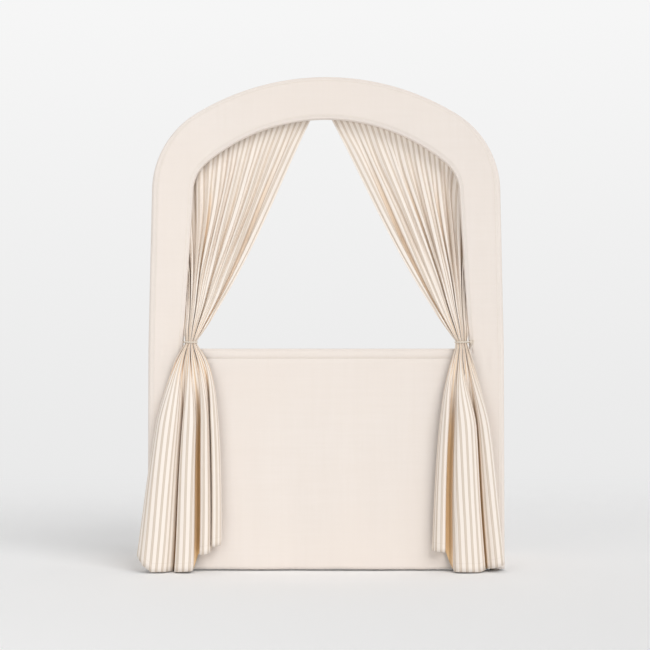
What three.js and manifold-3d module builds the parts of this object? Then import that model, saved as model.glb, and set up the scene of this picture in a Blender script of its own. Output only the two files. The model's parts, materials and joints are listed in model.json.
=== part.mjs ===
// Puppet theatre stand for a child's room.
//
// A tube frame stands on the floor under a canvas cover: an arched stage opening above, a closed front
// below its counter. Two striped curtains hang from the back of the arch and are tied back at the ends of
// the counter, so that their tails fall in front of the panel. Two low canvas wings on hinge clips hold
// the front upright, and fold flat behind it.
//
// Millimetres, +Z up, the audience on the -Y side. The origin is on the floor, under the middle of the
// whole stand. Inside this file a piece of the front is placed from the plane of the frame's tubes, and
// a piece of a wing from its hinge axis.
import * as THREE from "three";
import { mergeVertices } from "three/addons/utils/BufferGeometryUtils.js";
import Module from "manifold-3d";

const wasm = await Module();
wasm.setup();

// The covered front
const coverHeight = 1270;
const coverRise = 296;
const counterHeight = 571;
const panelHemHeight = 4;
const coverHalfWidthAtFloor = 460;
const counterNarrowing = 2;
const springNarrowing = 9;

// The band of canvas round the stage opening
const crownBandHeight = 108;
const stileWidth = 106;
const stileWidthAtCounter = 89;

// Haunch radii, as shares of the rise of their arch
const coverHaunchShare = 0.797;
const openingHaunchShare = 0.532;

// Canvas
const canvasThickness = 1.6;
const coverSlack = 1;
const counterPocketDepth = 40;
const floorPocketTop = 56;

// Fits
const seatGap = 0.3;
const slipFit = 0.25;
const runningFit = 0.3;
const cutOverrun = 5;
const overlapForJoin = 1;

// Front frame tubes and their moulded connectors
const postDiameter = 19;
const postWall = 1.2;
const socketWall = 2.25;
const spigotLength = 36;
const sleeveHalfLength = 32;
const coupleHalfLength = 40;
const floorRailHeight = 38;
const rungSpigotDiameter = 10;
const rungSpigotReach = 8;
const innerRailDiameter = 13;
const innerRailWall = 1;
const innerSocketWall = 2;
const innerSocketLength = 26;
const webThickness = 5;
const webHeight = 30;
const spacerLength = 16;
const spacerWall = 2.6;
const spacerWebThickness = 6;

// Hinge clips and their screws
const clipHeight = 26;
const lowerClipHeight = 130;
const upperClipBelowCounter = 131;
const clipRingWall = 2.7;
const clipStandoff = 2;
const clipWebWidth = 8;
const slotMargin = 2;
const screwShankDiameter = 4;
const screwHeadDiameter = 8;
const screwHeadHeight = 2.4;
const screwReach = 4;

// Side wings
const wingDepth = 300;
const wingTopBelowCounter = 22;
const wingHemHeight = 17;
const wingTubeDiameter = 16;
const wingTubeWall = 1.2;
const wingElbowRadius = 28;
const wingElbowSpigot = 22;
const wingRailHeight = 44;
const wingCornerRadius = 30;

// Feet
const footFloorThickness = 3;
const footGripLength = 11;
const footWall = 1.8;
const footChamfer = 1.5;

// Curtains, their header tapes and tie-backs
const headerOutset = 40;
const tapeInnerOutset = 16;
const tapeThickness = 1.6;
const headerGap = 8;
const headerEndBelowSpring = 104;
const clothHalfThickness = 1.5;
const headerWave = 6;
const upperWave = 12;
const freeEdgeSag = 18;
const tieAboveCounter = 17;
const tieInset = 22;
const tieForward = 22;
const bundleRadius = 15;
const neckHalfHeight = 3;
const bundleEdgeThickness = 2;
const tailClearance = 0.8;
const tailWave = 25;
const tailHalfWidth = 101;
const tailDrift = 25;
const curtainHemHeight = 3;
const freeCornerRise = 72;
const outerCornerRise = 34;
const tieCordDiameter = 4.4;
const tieLinkDiameter = 3.6;

// Shares of the curtain's run, from header to tie and from tie to hem
const waveGrowsShare = 0.33;
const gatherStartShare = 0.8;
const bundleOpensShare = 0.3;
const freeCornerShare = 0.34;
const outerCornerShare = 0.2;
const fanPowerShare = 0.36;
const driftPowerShare = 0.7;

// Counts of facets, folds and repeated pieces
const tubeSides = 12;
const haunchSteps = 6;
const crownSteps = 7;
const elbowSteps = 6;
const tapeSteps = 14;
const curtainFolds = 6;
const stepsPerFold = 4;
const upperRows = 9;
const tailRows = 9;
const tieSides = 8;
const tieSteps = 20;
const routeSamples = 400;
const spacerShares = [0.22, 0.52, 1];

// Sizes that follow
const coverHalfWidthAtCounter = coverHalfWidthAtFloor - counterNarrowing;
const coverHalfWidth = coverHalfWidthAtCounter - springNarrowing;
const springHeight = coverHeight - coverRise;
const coverHaunchRadius = coverRise * coverHaunchShare;
const openingCrownHeight = coverHeight - crownBandHeight;
const openingHalfWidth = coverHalfWidth - stileWidth;
const openingHalfWidthAtCounter = coverHalfWidthAtCounter - stileWidthAtCounter;
const openingHaunchRadius = (openingCrownHeight - springHeight) * openingHaunchShare;
const clipHeights = { lower: lowerClipHeight, upper: counterHeight - upperClipBelowCounter };
const headerEndHeight = springHeight - headerEndBelowSpring;
const tieHeight = counterHeight + tieAboveCounter;
const tieHalfSpan = openingHalfWidthAtCounter - tieInset;
const tailCentre = tieHalfSpan + tailDrift;
const postRadius = postDiameter / 2;
const postBoreRadius = postRadius - postWall;
const socketRadius = postRadius + slipFit + socketWall;
const coverCavity = socketRadius + seatGap;
const coverHalfDepth = coverCavity + canvasThickness;
const postInset = socketRadius + coverSlack + canvasThickness;
const postX = coverHalfWidth - postInset;
const railHeight = counterHeight - canvasThickness - seatGap - socketRadius;
const innerRailRadius = innerRailDiameter / 2;
const innerSocketRadius = innerRailRadius + slipFit + innerSocketWall;
const innerRailOutset = innerRailRadius + slipFit + spacerWall + coverSlack + canvasThickness;
const wingTubeRadius = wingTubeDiameter / 2;
const clipRingRadius = wingTubeRadius + runningFit + clipRingWall;
const hingeY = coverHalfDepth + clipStandoff + clipRingRadius;
const wingCavity = wingTubeRadius + seatGap;
const wingHalfDepth = wingCavity + canvasThickness;
const wingTopHeight = counterHeight - wingTopBelowCounter;
const wingTopRailHeight = wingTopHeight - canvasThickness - seatGap - wingTubeRadius;
const wingFootRadius = wingTubeRadius + slipFit + footWall;
const tapeBack = coverHalfDepth + seatGap + tapeThickness;
const tailFront = coverHalfDepth + tailClearance + 2 * tailWave + 2 * clothHalfThickness;
const rearReach = hingeY + wingDepth + wingFootRadius;
const frontPlaneY = (tailFront - rearReach) / 2;
const neckTop = tieHeight + neckHalfHeight;
const neckFoot = tieHeight - neckHalfHeight;
const stepOver = (neckFoot - counterHeight - seatGap) / (neckFoot - curtainHemHeight);

function look(name, color, roughness, metalness = 0) {
  return new THREE.MeshStandardMaterial({ name, color, roughness, metalness });
}

const steel = look("steel", 0xf1eee8, 0.45, 0.1);
const plastic = look("plastic", 0xe9e5dd, 0.55);
const rubber = look("rubber", 0xb9b2a6, 0.8);
const zinc = look("zinc", 0xb8babd, 0.35, 0.9);
const canvas = look("canvas", 0xf1e8de, 0.95);
const ticking = look("ticking", 0xe6d8c3, 0.95);
const tape = look("tape", 0xefe9df, 0.9);
const cord = look("cord", 0xeadfcd, 0.9);

// Plain helpers

const mix = (from, to, share) => from + (to - from) * share;

function smooth(start, end, value) {
  const share = THREE.MathUtils.clamp((value - start) / (end - start), 0, 1);
  return share * share * (3 - 2 * share);
}

// The corner radius of a many-sided bore whose flats are still this far from the axis.
const boreCorner = (radius) => radius / Math.cos(Math.PI / tubeSides);

// A closed three.js geometry as a solid that can be joined and cut.
function solidOf(geometry) {
  const bare = geometry.clone();
  bare.deleteAttribute("normal");
  bare.deleteAttribute("uv");
  const merged = mergeVertices(bare);
  const triVerts = new Uint32Array(merged.index.array);
  const vertProperties = merged.attributes.position.array;
  return new wasm.Manifold(new wasm.Mesh({ numProp: 3, vertProperties, triVerts }));
}

function geometryOf(solid) {
  const mesh = solid.getMesh();
  const indexed = new THREE.BufferGeometry();
  indexed.setAttribute("position", new THREE.BufferAttribute(mesh.vertProperties, 3));
  indexed.setIndex(new THREE.BufferAttribute(mesh.triVerts, 1));
  const flat = indexed.toNonIndexed();
  flat.computeVertexNormals();
  return flat;
}

// The same piece for the other side of the stand.
function mirrored(geometry) {
  const flipped = geometry.clone();
  flipped.scale(-1, 1, 1);
  const position = flipped.attributes.position;
  const corner = [new THREE.Vector3(), new THREE.Vector3()];
  for (let i = 0; i < position.count; i += 3) {
    corner[0].fromBufferAttribute(position, i + 1);
    corner[1].fromBufferAttribute(position, i + 2);
    position.setXYZ(i + 1, ...corner[1].toArray());
    position.setXYZ(i + 2, ...corner[0].toArray());
  }
  flipped.computeVertexNormals();
  return flipped;
}

function rod(from, to, radius, sides = tubeSides) {
  const start = new THREE.Vector3(...from);
  const along = new THREE.Vector3(...to).sub(start);
  const geometry = new THREE.CylinderGeometry(radius, radius, along.length(), sides);
  geometry.rotateY(Math.PI / sides);
  const heading = along.clone().normalize();
  const turn = new THREE.Quaternion().setFromUnitVectors(new THREE.Vector3(0, 1, 0), heading);
  geometry.applyQuaternion(turn);
  const middle = start.addScaledVector(along, 1 / 2);
  geometry.translate(middle.x, middle.y, middle.z);
  return solidOf(geometry);
}

const bore = (from, to, radius) => rod(from, to, boreCorner(radius));

function block(low, high) {
  const size = high.map((value, i) => value - low[i]);
  const geometry = new THREE.BoxGeometry(...size);
  geometry.translate(...low.map((value, i) => value + size[i] / 2));
  return solidOf(geometry);
}

// An outline in the X-Z plane, given depth in Y from one plane to another.
function prism(points, fromY, toY) {
  const shape = new THREE.Shape(points.map(([x, z]) => new THREE.Vector2(x, z)));
  const geometry = new THREE.ExtrudeGeometry(shape, { depth: toY - fromY, bevelEnabled: false });
  geometry.rotateX(Math.PI / 2);
  geometry.translate(0, toY, 0);
  return solidOf(geometry);
}

// Rings of points joined into one closed skin. Each ring is a front row and a back row of equal length,
// so that an end is closed by the strip between its two rows.
function loft(rings) {
  const half = rings[0].length / 2;
  const count = rings[0].length;
  const positions = rings.flat().flatMap((point) => point.toArray());
  const index = [];
  for (let r = 0; r + 1 < rings.length; r++) {
    for (let i = 0; i < count; i++) {
      const a = r * count + i;
      const b = r * count + ((i + 1) % count);
      index.push(a, b, a + count, b, b + count, a + count);
    }
  }
  const last = (rings.length - 1) * count;
  for (let i = 0; i + 1 < half; i++) {
    const back = count - 1 - i;
    index.push(i, back, i + 1, i + 1, back, back - 1);
    index.push(last + i, last + i + 1, last + back, last + i + 1, last + back - 1, last + back);
  }
  const geometry = new THREE.BufferGeometry();
  geometry.setAttribute("position", new THREE.Float32BufferAttribute(positions, 3));
  geometry.setIndex(index);
  return solidOf(geometry);
}

// A round bar through points that lie in one plane; across is the unit normal of that plane.
function sweep(points, across, radius, sides = tubeSides) {
  const rings = points.map((point, i) => {
    const before = points[Math.max(i - 1, 0)];
    const after = points[Math.min(i + 1, points.length - 1)];
    const arriving = point.clone().sub(before).normalize();
    const leaving = after.clone().sub(point).normalize();
    const towards = arriving.add(leaving).normalize();
    const outward = new THREE.Vector3().crossVectors(across, towards);
    const corners = [];
    for (let k = 0; k < sides; k++) {
      const angle = ((k + 1 / 2) / sides) * 2 * Math.PI;
      corners.push(
        point.clone()
          .addScaledVector(outward, -radius * Math.sin(angle))
          .addScaledVector(across, radius * Math.cos(angle)),
      );
    }
    return corners;
  });
  return loft(rings);
}

// The route with both its ends run on in a straight line.
function runOn(points, length) {
  const first = points[0].clone().sub(points[1]).setLength(length).add(points[0]);
  const end = points.length - 1;
  const last = points[end].clone().sub(points[end - 1]).setLength(length).add(points[end]);
  return [first, ...points, last];
}

// What lies on the right of the stand's middle, short of it by half the gap between two tube ends.
function rightHalf(solid) {
  const low = [-coverHalfWidth, -coverHalfWidth, 0];
  const high = [seatGap / 2, coverHalfWidth, 2 * coverHeight];
  return solid.subtract(block(low, high));
}

function tube(points, across, radius, boreRadius) {
  return sweep(points, across, radius).subtract(sweep(runOn(points, cutOverrun), across, boreRadius));
}

// Arches

// Two haunch arcs on leaning legs, and a crown arc that is tangent to both.
function archOf(halfSpan, crownHeight, haunchRadius, halfSpanAtCounter) {
  const rise = crownHeight - springHeight;
  const haunchX = halfSpan - haunchRadius;
  const crownRadius = (haunchX ** 2 + rise ** 2 - haunchRadius ** 2) / (2 * (rise - haunchRadius));
  const crownZ = crownHeight - crownRadius;
  const joinAngle = Math.atan2(springHeight - crownZ, haunchX);
  return { halfSpan, haunchRadius, haunchX, crownRadius, crownZ, joinAngle, halfSpanAtCounter };
}

const coverArch = (inset) => archOf(
  coverHalfWidth - inset, coverHeight - inset, coverHaunchRadius - inset, coverHalfWidthAtCounter - inset,
);

const openingArch = (outset) => archOf(
  openingHalfWidth + outset, openingCrownHeight + outset, openingHaunchRadius + outset,
  openingHalfWidthAtCounter + outset,
);

// The frame's own arch has upright legs.
const tubeArch = archOf(postX, coverHeight - postInset, coverHaunchRadius - postInset, postX);

function legX(arch, height) {
  const share = (springHeight - height) / (springHeight - counterHeight);
  return mix(arch.halfSpan, arch.halfSpanAtCounter, share);
}

// Points [x, z] up the right leg and round to the crown.
function halfArch(arch, footHeight) {
  const points = [[legX(arch, footHeight), footHeight]];
  for (let i = 0; i <= haunchSteps; i++) {
    const angle = (arch.joinAngle * i) / haunchSteps;
    points.push([
      arch.haunchX + arch.haunchRadius * Math.cos(angle),
      springHeight + arch.haunchRadius * Math.sin(angle),
    ]);
  }
  for (let i = 1; i <= crownSteps; i++) {
    const angle = mix(arch.joinAngle, Math.PI / 2, i / crownSteps);
    points.push([arch.crownRadius * Math.cos(angle), arch.crownZ + arch.crownRadius * Math.sin(angle)]);
  }
  points[points.length - 1][0] = 0;
  return points;
}

function wholeArch(arch, footHeight) {
  const right = halfArch(arch, footHeight);
  const left = right.slice(0, -1).reverse().map(([x, z]) => [-x, z]);
  return [...right, ...left];
}

// The point [x, z] at a distance from the crown, along the right side of an arch and down its leg.
function archPoint(arch, distance) {
  const crownLength = arch.crownRadius * (Math.PI / 2 - arch.joinAngle);
  const haunchLength = arch.haunchRadius * arch.joinAngle;
  if (distance < crownLength) {
    const angle = Math.PI / 2 - distance / arch.crownRadius;
    return [arch.crownRadius * Math.cos(angle), arch.crownZ + arch.crownRadius * Math.sin(angle)];
  }
  if (distance < crownLength + haunchLength) {
    const angle = arch.joinAngle - (distance - crownLength) / arch.haunchRadius;
    return [
      arch.haunchX + arch.haunchRadius * Math.cos(angle),
      springHeight + arch.haunchRadius * Math.sin(angle),
    ];
  }
  const height = springHeight - (distance - crownLength - haunchLength);
  return [legX(arch, height), height];
}

function archLength(arch, footHeight) {
  return arch.crownRadius * (Math.PI / 2 - arch.joinAngle) + arch.haunchRadius * arch.joinAngle
    + springHeight - footHeight;
}

const inPlane = (points) => points.map(([x, z]) => new THREE.Vector3(x, 0, z));
const acrossFront = new THREE.Vector3(0, 1, 0);
const acrossWing = new THREE.Vector3(1, 0, 0);

// Pieces and where they hang

const theatre = new THREE.Group();
const front = new THREE.Group();
const wingRight = new THREE.Group();
const wingLeft = new THREE.Group();
theatre.add(front, wingRight, wingLeft);
front.position.set(0, frontPlaneY, 0);
wingRight.position.set(postX, frontPlaneY + hingeY, 0);
wingLeft.position.set(-postX, frontPlaneY + hingeY, 0);

function add(name, solid, material, parent = front) {
  const mesh = new THREE.Mesh(geometryOf(solid), material);
  mesh.name = name;
  parent.add(mesh);
}

function addPair(name, solid, material, rightParent = front, leftParent = front) {
  add(`${name}_right`, solid, material, rightParent);
  const mesh = new THREE.Mesh(mirrored(geometryOf(solid)), material);
  mesh.name = `${name}_left`;
  leftParent.add(mesh);
}

// A screw in the inner side of a post, through a clip and the post's wall.
const screwAxisStart = postX - postRadius + screwReach;

// Front frame

function post() {
  const top = railHeight - seatGap;
  const foot = footFloorThickness + seatGap;
  let solid = rod([postX, 0, foot], [postX, 0, top], postRadius)
    .subtract(rod([postX, 0, foot - cutOverrun], [postX, 0, top + cutOverrun], postBoreRadius))
    .subtract(bore([0, 0, floorRailHeight], [postX, 0, floorRailHeight], rungSpigotDiameter / 2 + slipFit));
  for (const height of Object.values(clipHeights)) {
    solid = solid.subtract(bore([0, 0, height], [postX, 0, height], screwShankDiameter / 2 + slipFit));
  }
  return solid;
}

function archTube() {
  const route = inPlane(halfArch(tubeArch, railHeight + seatGap));
  const spigot = rod(
    [postX, 0, railHeight - spigotLength],
    [postX, 0, railHeight + spigotLength],
    postBoreRadius - slipFit,
  );
  const spigotBore = rod(
    [postX, 0, railHeight - spigotLength - cutOverrun],
    [postX, 0, railHeight + spigotLength + cutOverrun],
    postBoreRadius - slipFit - postWall,
  );
  const bareTube = tube(route, acrossFront, postRadius, postBoreRadius);
  const swage = rod(
    [postX, 0, railHeight + seatGap],
    [postX, 0, railHeight + spigotLength],
    postBoreRadius + overlapForJoin / 2,
  );
  return rightHalf(bareTube.add(spigot).add(swage).subtract(spigotBore));
}

// A bent sleeve over the two ends of an arch's tubes, at the crown.
function coupler(arch, tubeRadius, outerRadius) {
  const reach = coupleHalfLength / arch.crownRadius;
  const points = [-1, -1 / 2, 0, 1 / 2, 1].map((share) => [
    arch.crownRadius * Math.sin(share * reach),
    arch.crownZ + arch.crownRadius * Math.cos(share * reach),
  ]);
  const route = inPlane(wholeArch(arch, springHeight - cutOverrun));
  const clearance = sweep(route, acrossFront, boreCorner(tubeRadius + slipFit));
  return sweep(inPlane(points), acrossFront, outerRadius).subtract(clearance);
}

const innerArch = openingArch(innerRailOutset);
const innerRailFoot = railHeight + socketRadius + seatGap;

function innerRail() {
  const route = inPlane(halfArch(innerArch, innerRailFoot));
  return rightHalf(tube(route, acrossFront, innerRailRadius, innerRailRadius - innerRailWall));
}

// The moulding at each end of the counter: a sleeve on the post's joint, a socket for the counter rail
// and one for the inner rail's foot, with a web between.
function counterConnector() {
  const innerX = legX(innerArch, innerRailFoot);
  const socketTop = innerRailFoot + innerSocketLength;
  const socketTopX = legX(innerArch, socketTop);
  const endX = innerX - innerSocketRadius;
  const railStop = postX - socketRadius;
  const sleeveLow = [postX, 0, railHeight - sleeveHalfLength];
  const sleeveHigh = [postX, 0, railHeight + sleeveHalfLength];
  const body = rod(sleeveLow, sleeveHigh, socketRadius)
    .add(rod([endX, 0, railHeight], [postX, 0, railHeight], socketRadius))
    .add(rod([legX(innerArch, railHeight), 0, railHeight], [socketTopX, 0, socketTop], innerSocketRadius))
    .add(block([innerX, -webThickness / 2, railHeight], [postX, webThickness / 2, railHeight + webHeight]));
  const runX = legX(innerArch, socketTop + cutOverrun);
  const postLow = [postX, 0, railHeight - 2 * sleeveHalfLength];
  const postHigh = [postX, 0, railHeight + 2 * sleeveHalfLength];
  const innerLow = [innerX, 0, innerRailFoot - seatGap];
  const innerHigh = [runX, 0, socketTop + cutOverrun];
  return body
    .subtract(bore(postLow, postHigh, postRadius + slipFit))
    .subtract(bore([endX - cutOverrun, 0, railHeight], [railStop, 0, railHeight], postRadius + slipFit))
    .subtract(bore(innerLow, innerHigh, innerRailRadius + slipFit));
}

function counterRail() {
  const end = postX - socketRadius - seatGap;
  return rod([-end, 0, railHeight], [end, 0, railHeight], postRadius);
}

// A rail between two posts: ends hollowed to the posts, with spigots that enter them.
function rung(from, to, radius, postTubeRadius, postTubeWall) {
  const along = new THREE.Vector3(...to).sub(new THREE.Vector3(...from)).normalize();
  const point = (base, distance) => new THREE.Vector3(...base).addScaledVector(along, distance).toArray();
  const enter = postTubeRadius - postTubeWall - rungSpigotReach / 2;
  const upright = (base) => [
    [base[0], base[1], base[2] - 2 * postTubeRadius],
    [base[0], base[1], base[2] + 2 * postTubeRadius],
  ];
  return rod(from, to, radius)
    .subtract(bore(...upright(from), postTubeRadius + seatGap))
    .subtract(bore(...upright(to), postTubeRadius + seatGap))
    .add(rod(point(from, enter), point(to, -enter), rungSpigotDiameter / 2));
}

// A moulded distance piece that grips the outer and the inner arch tube, at a share of the arch's run.
function archSpacer(share) {
  const reach = share * archLength(innerArch, springHeight - spacerLength);
  const [x, z] = archPoint(innerArch, reach);
  const [aheadX, aheadZ] = archPoint(innerArch, reach + overlapForJoin);
  const heading = Math.atan2(aheadZ - z, aheadX - x);
  const outward = [-Math.sin(heading), Math.cos(heading)];
  const spanTo = nearestOnTubeArch(x, z, outward);
  const ringOn = (cx, cz, radius) => rod(
    [cx - (Math.cos(heading) * spacerLength) / 2, 0, cz - (Math.sin(heading) * spacerLength) / 2],
    [cx + (Math.cos(heading) * spacerLength) / 2, 0, cz + (Math.sin(heading) * spacerLength) / 2],
    radius,
  );
  const web = new THREE.BoxGeometry(spacerLength, spacerWebThickness, spanTo);
  web.translate(0, 0, spanTo / 2);
  web.rotateY(-heading);
  web.translate(x, 0, z);
  const outerRoute = inPlane(wholeArch(tubeArch, counterHeight));
  const innerRoute = inPlane(wholeArch(innerArch, counterHeight));
  return ringOn(x, z, innerRailRadius + slipFit + spacerWall)
    .add(ringOn(x + outward[0] * spanTo, z + outward[1] * spanTo, postRadius + slipFit + socketWall))
    .add(solidOf(web))
    .subtract(sweep(outerRoute, acrossFront, boreCorner(postRadius + slipFit)))
    .subtract(sweep(innerRoute, acrossFront, boreCorner(innerRailRadius + slipFit)));
}

// How far the outer tube's centreline is from a point, along an outward direction.
function nearestOnTubeArch(x, z, outward) {
  let best = { miss: Infinity, distance: 0 };
  const length = archLength(tubeArch, counterHeight);
  for (let i = 0; i <= routeSamples; i++) {
    const [px, pz] = archPoint(tubeArch, (length * i) / routeSamples);
    const along = (px - x) * outward[0] + (pz - z) * outward[1];
    const miss = Math.hypot(px - x - outward[0] * along, pz - z - outward[1] * along);
    if (along > 0 && miss < best.miss) best = { miss, distance: along };
  }
  return best.distance;
}

// A cup on the lower end of a tube.
function foot(x, y, gripRadius, outerRadius) {
  const innerCorner = boreCorner(gripRadius);
  const height = footFloorThickness + footGripLength;
  const profile = [
    [0, 0],
    [outerRadius - footChamfer, 0],
    [outerRadius, footChamfer],
    [outerRadius, height],
    [innerCorner, height],
    [innerCorner, footFloorThickness],
    [0, footFloorThickness],
  ];
  const geometry = new THREE.LatheGeometry(profile.map(([r, h]) => new THREE.Vector2(r, h)), tubeSides);
  geometry.rotateX(Math.PI / 2);
  geometry.rotateZ(Math.PI / tubeSides);
  geometry.translate(x, y, 0);
  return solidOf(geometry);
}

// Canvas

// The sleeve round the arch and its stiles, above the counter.
function archSleeve() {
  const bottom = counterHeight - overlapForJoin;
  const beyond = coverHalfDepth + cutOverrun;
  const below = bottom - cutOverrun;
  const farBelow = below - cutOverrun;
  const opening = prism(wholeArch(openingArch(0), below), -beyond, beyond);
  const openingSkin = prism(wholeArch(openingArch(canvasThickness), farBelow), -beyond, beyond);
  const skin = prism(wholeArch(coverArch(0), bottom), -coverHalfDepth, coverHalfDepth).subtract(opening);
  const hollow = prism(wholeArch(coverArch(canvasThickness), below), -coverCavity, coverCavity);
  return skin.subtract(hollow.subtract(openingSkin));
}

// The closed front below the counter: a pocket on the counter rail, one on the floor rail, and stiles
// that go on down to the floor behind, with slots where the hinge clips come through.
function frontPanel() {
  const panelOutline = (inset, low, high) => {
    const halfAt = (height) => mix(coverHalfWidthAtFloor, coverHalfWidthAtCounter, height / counterHeight);
    const lean = (height) => halfAt(height) - inset;
    return [[lean(low), low], [lean(high), high], [-lean(high), high], [-lean(low), low]];
  };
  const top = counterHeight - canvasThickness;
  const stileStart = openingHalfWidthAtCounter + canvasThickness;
  const stileEnd = coverHalfWidthAtCounter - canvasThickness;
  const hollowOutline = panelOutline(canvasThickness, panelHemHeight - cutOverrun, top);
  let solid = prism(panelOutline(0, panelHemHeight, counterHeight), -coverHalfDepth, coverHalfDepth)
    .subtract(prism(hollowOutline, -coverCavity, coverCavity))
    .subtract(block(
      [-openingHalfWidthAtCounter, 0, floorPocketTop],
      [openingHalfWidthAtCounter, coverHalfDepth + cutOverrun, counterHeight - counterPocketDepth],
    ));
  for (const side of [-1, 1]) {
    const ends = [side * stileStart, side * stileEnd].sort((a, b) => a - b);
    const above = counterHeight + cutOverrun;
    solid = solid.subtract(block([ends[0], -coverCavity, 0], [ends[1], coverCavity, above]));
    for (const height of Object.values(clipHeights)) {
      const slotHalf = clipWebWidth / 2 + slotMargin;
      solid = solid.subtract(block(
        [side * postX - slotHalf, 0, height - clipHeight / 2 - slotMargin],
        [side * postX + slotHalf, coverHalfDepth + cutOverrun, height + clipHeight / 2 + slotMargin],
      ));
    }
  }
  return solid;
}

// Hinge clips

function hingeClip(height) {
  const low = height - clipHeight / 2;
  const high = height + clipHeight / 2;
  const below = low - cutOverrun;
  const above = high + cutOverrun;
  return rod([postX, 0, low], [postX, 0, high], socketRadius)
    .add(rod([postX, hingeY, low], [postX, hingeY, high], clipRingRadius))
    .add(block([postX - clipWebWidth / 2, 0, low], [postX + clipWebWidth / 2, hingeY, high]))
    .subtract(bore([postX, 0, below], [postX, 0, above], postRadius + slipFit))
    .subtract(bore([postX, hingeY, below], [postX, hingeY, above], wingTubeRadius + runningFit))
    .subtract(bore([0, 0, height], [postX, 0, height], screwShankDiameter / 2 + slipFit));
}

function clipScrew(height) {
  const headFace = postX - socketRadius - seatGap;
  return rod([headFace, 0, height], [screwAxisStart, 0, height], screwShankDiameter / 2)
    .add(rod([headFace - screwHeadHeight, 0, height], [headFace, 0, height], screwHeadDiameter / 2));
}

// Curtains

const headerArch = openingArch(headerOutset);

function headerRange() {
  return [headerGap, archLength(headerArch, headerEndHeight)];
}

// The cord's ring sits on a bundle that is round here.
function bundleHalf(u) {
  return Math.max(bundleRadius * Math.sqrt(Math.max(1 - (2 * u - 1) ** 2, 0)), bundleEdgeThickness / 2);
}

const foldWave = (u) => Math.cos(2 * Math.PI * curtainFolds * u);

// A sag is nothing at both ends, and one at its deepest, two thirds of the way down.
const sagAt = (share) => (27 / 4) * share ** 2 * (1 - share);

// A row of the curtain between header and tie: share 0 is the header.
function upperRow(share) {
  const [start, end] = headerRange();
  const gather = smooth(gatherStartShare, 1, share);
  const fullWave = mix(headerWave, upperWave, smooth(0, waveGrowsShare, share));
  const wave = fullWave * (1 - gather);
  const behind = tapeBack + seatGap + fullWave + clothHalfThickness;
  const front = [];
  const back = [];
  for (let i = 0; i <= curtainFolds * stepsPerFold; i++) {
    const u = i / (curtainFolds * stepsPerFold);
    const [headX, headZ] = archPoint(headerArch, mix(start, end, u));
    const sag = freeEdgeSag * (1 - u) * sagAt(share);
    const pull = mix(share, smooth(0, gatherStartShare, share), u);
    const x = mix(headX, tieHalfSpan + (2 * u - 1) * bundleRadius, pull) - sag;
    const z = mix(headZ, neckTop, share);
    const y = mix(behind, -tieForward, gather) + wave * foldWave(u);
    const half = mix(clothHalfThickness, bundleHalf(u), gather);
    back.push(new THREE.Vector3(x, y + half, z));
    front.unshift(new THREE.Vector3(x, y - half, z));
  }
  return [...back, ...front];
}

function hemHeightAt(u) {
  return curtainHemHeight + freeCornerRise * (1 - smooth(0, freeCornerShare, u))
    + outerCornerRise * smooth(1 - outerCornerShare, 1, u);
}

// A row of the tail between tie and hem: share 1 is the hem.
function tailRow(share) {
  const opening = smooth(0, bundleOpensShare, share);
  const wave = tailWave * opening * mix(opening, 1, share);
  const thickest = mix(bundleRadius, clothHalfThickness, opening);
  const clear = -(coverHalfDepth + tailClearance + wave + thickest);
  const centreY = mix(-tieForward, clear, smooth(0, stepOver, share));
  const centreX = mix(tieHalfSpan, tailCentre, share ** driftPowerShare);
  const halfWidth = mix(bundleRadius, tailHalfWidth, share ** fanPowerShare);
  const front = [];
  const back = [];
  for (let i = 0; i <= curtainFolds * stepsPerFold; i++) {
    const u = i / (curtainFolds * stepsPerFold);
    const x = centreX + (2 * u - 1) * halfWidth;
    const y = centreY + wave * foldWave(u);
    const z = mix(neckFoot, hemHeightAt(u), share);
    const half = mix(bundleHalf(u), clothHalfThickness, opening);
    back.push(new THREE.Vector3(x, y + half, z));
    front.unshift(new THREE.Vector3(x, y - half, z));
  }
  return [...back, ...front];
}

function curtain() {
  const rows = [];
  for (let i = 0; i <= upperRows; i++) rows.push(upperRow(Math.sin(((i / upperRows) * Math.PI) / 2)));
  rows.push(tailRow(0), tailRow(stepOver / 2));
  for (let i = 0; i <= tailRows; i++) rows.push(tailRow(mix(stepOver, 1, (i / tailRows) ** 2)));
  return loft(rows);
}

function headerTape() {
  const [start, end] = headerRange();
  const edge = (outset) => {
    const points = [];
    for (let i = 0; i <= tapeSteps; i++) {
      const arch = openingArch(outset);
      const reach = mix(start, end, i / tapeSteps) * (archLength(arch, headerEndHeight) / end);
      points.push(archPoint(arch, reach));
    }
    return points;
  };
  const outline = [...edge(tapeInnerOutset), ...edge(headerOutset).reverse()];
  return prism(outline, coverHalfDepth + seatGap, tapeBack);
}

// A cord ring round the gathered curtain, and its short link to the edge of the opening.
function tieBack() {
  const ringRadius = bundleRadius + seatGap + tieCordDiameter / 2;
  const cornerRadius = ringRadius / Math.cos(Math.PI / tieSteps);
  const ring = new THREE.TorusGeometry(cornerRadius, tieCordDiameter / 2, tieSides, tieSteps);
  ring.translate(tieHalfSpan, -tieForward, tieHeight);
  const edgeX = legX(openingArch(0), tieHeight) - seatGap;
  const linkY = -coverHalfDepth + tieLinkDiameter;
  const hook = Math.sqrt(ringRadius ** 2 - (tieForward + linkY) ** 2);
  const linkStart = [tieHalfSpan + hook, linkY, tieHeight];
  const linkEnd = [edgeX, linkY, tieHeight];
  return solidOf(ring).add(rod(linkStart, linkEnd, tieLinkDiameter / 2, tieSides));
}

// A wing, from its hinge axis: the hinge tube is at Y zero and the wing runs towards +Y.

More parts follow.
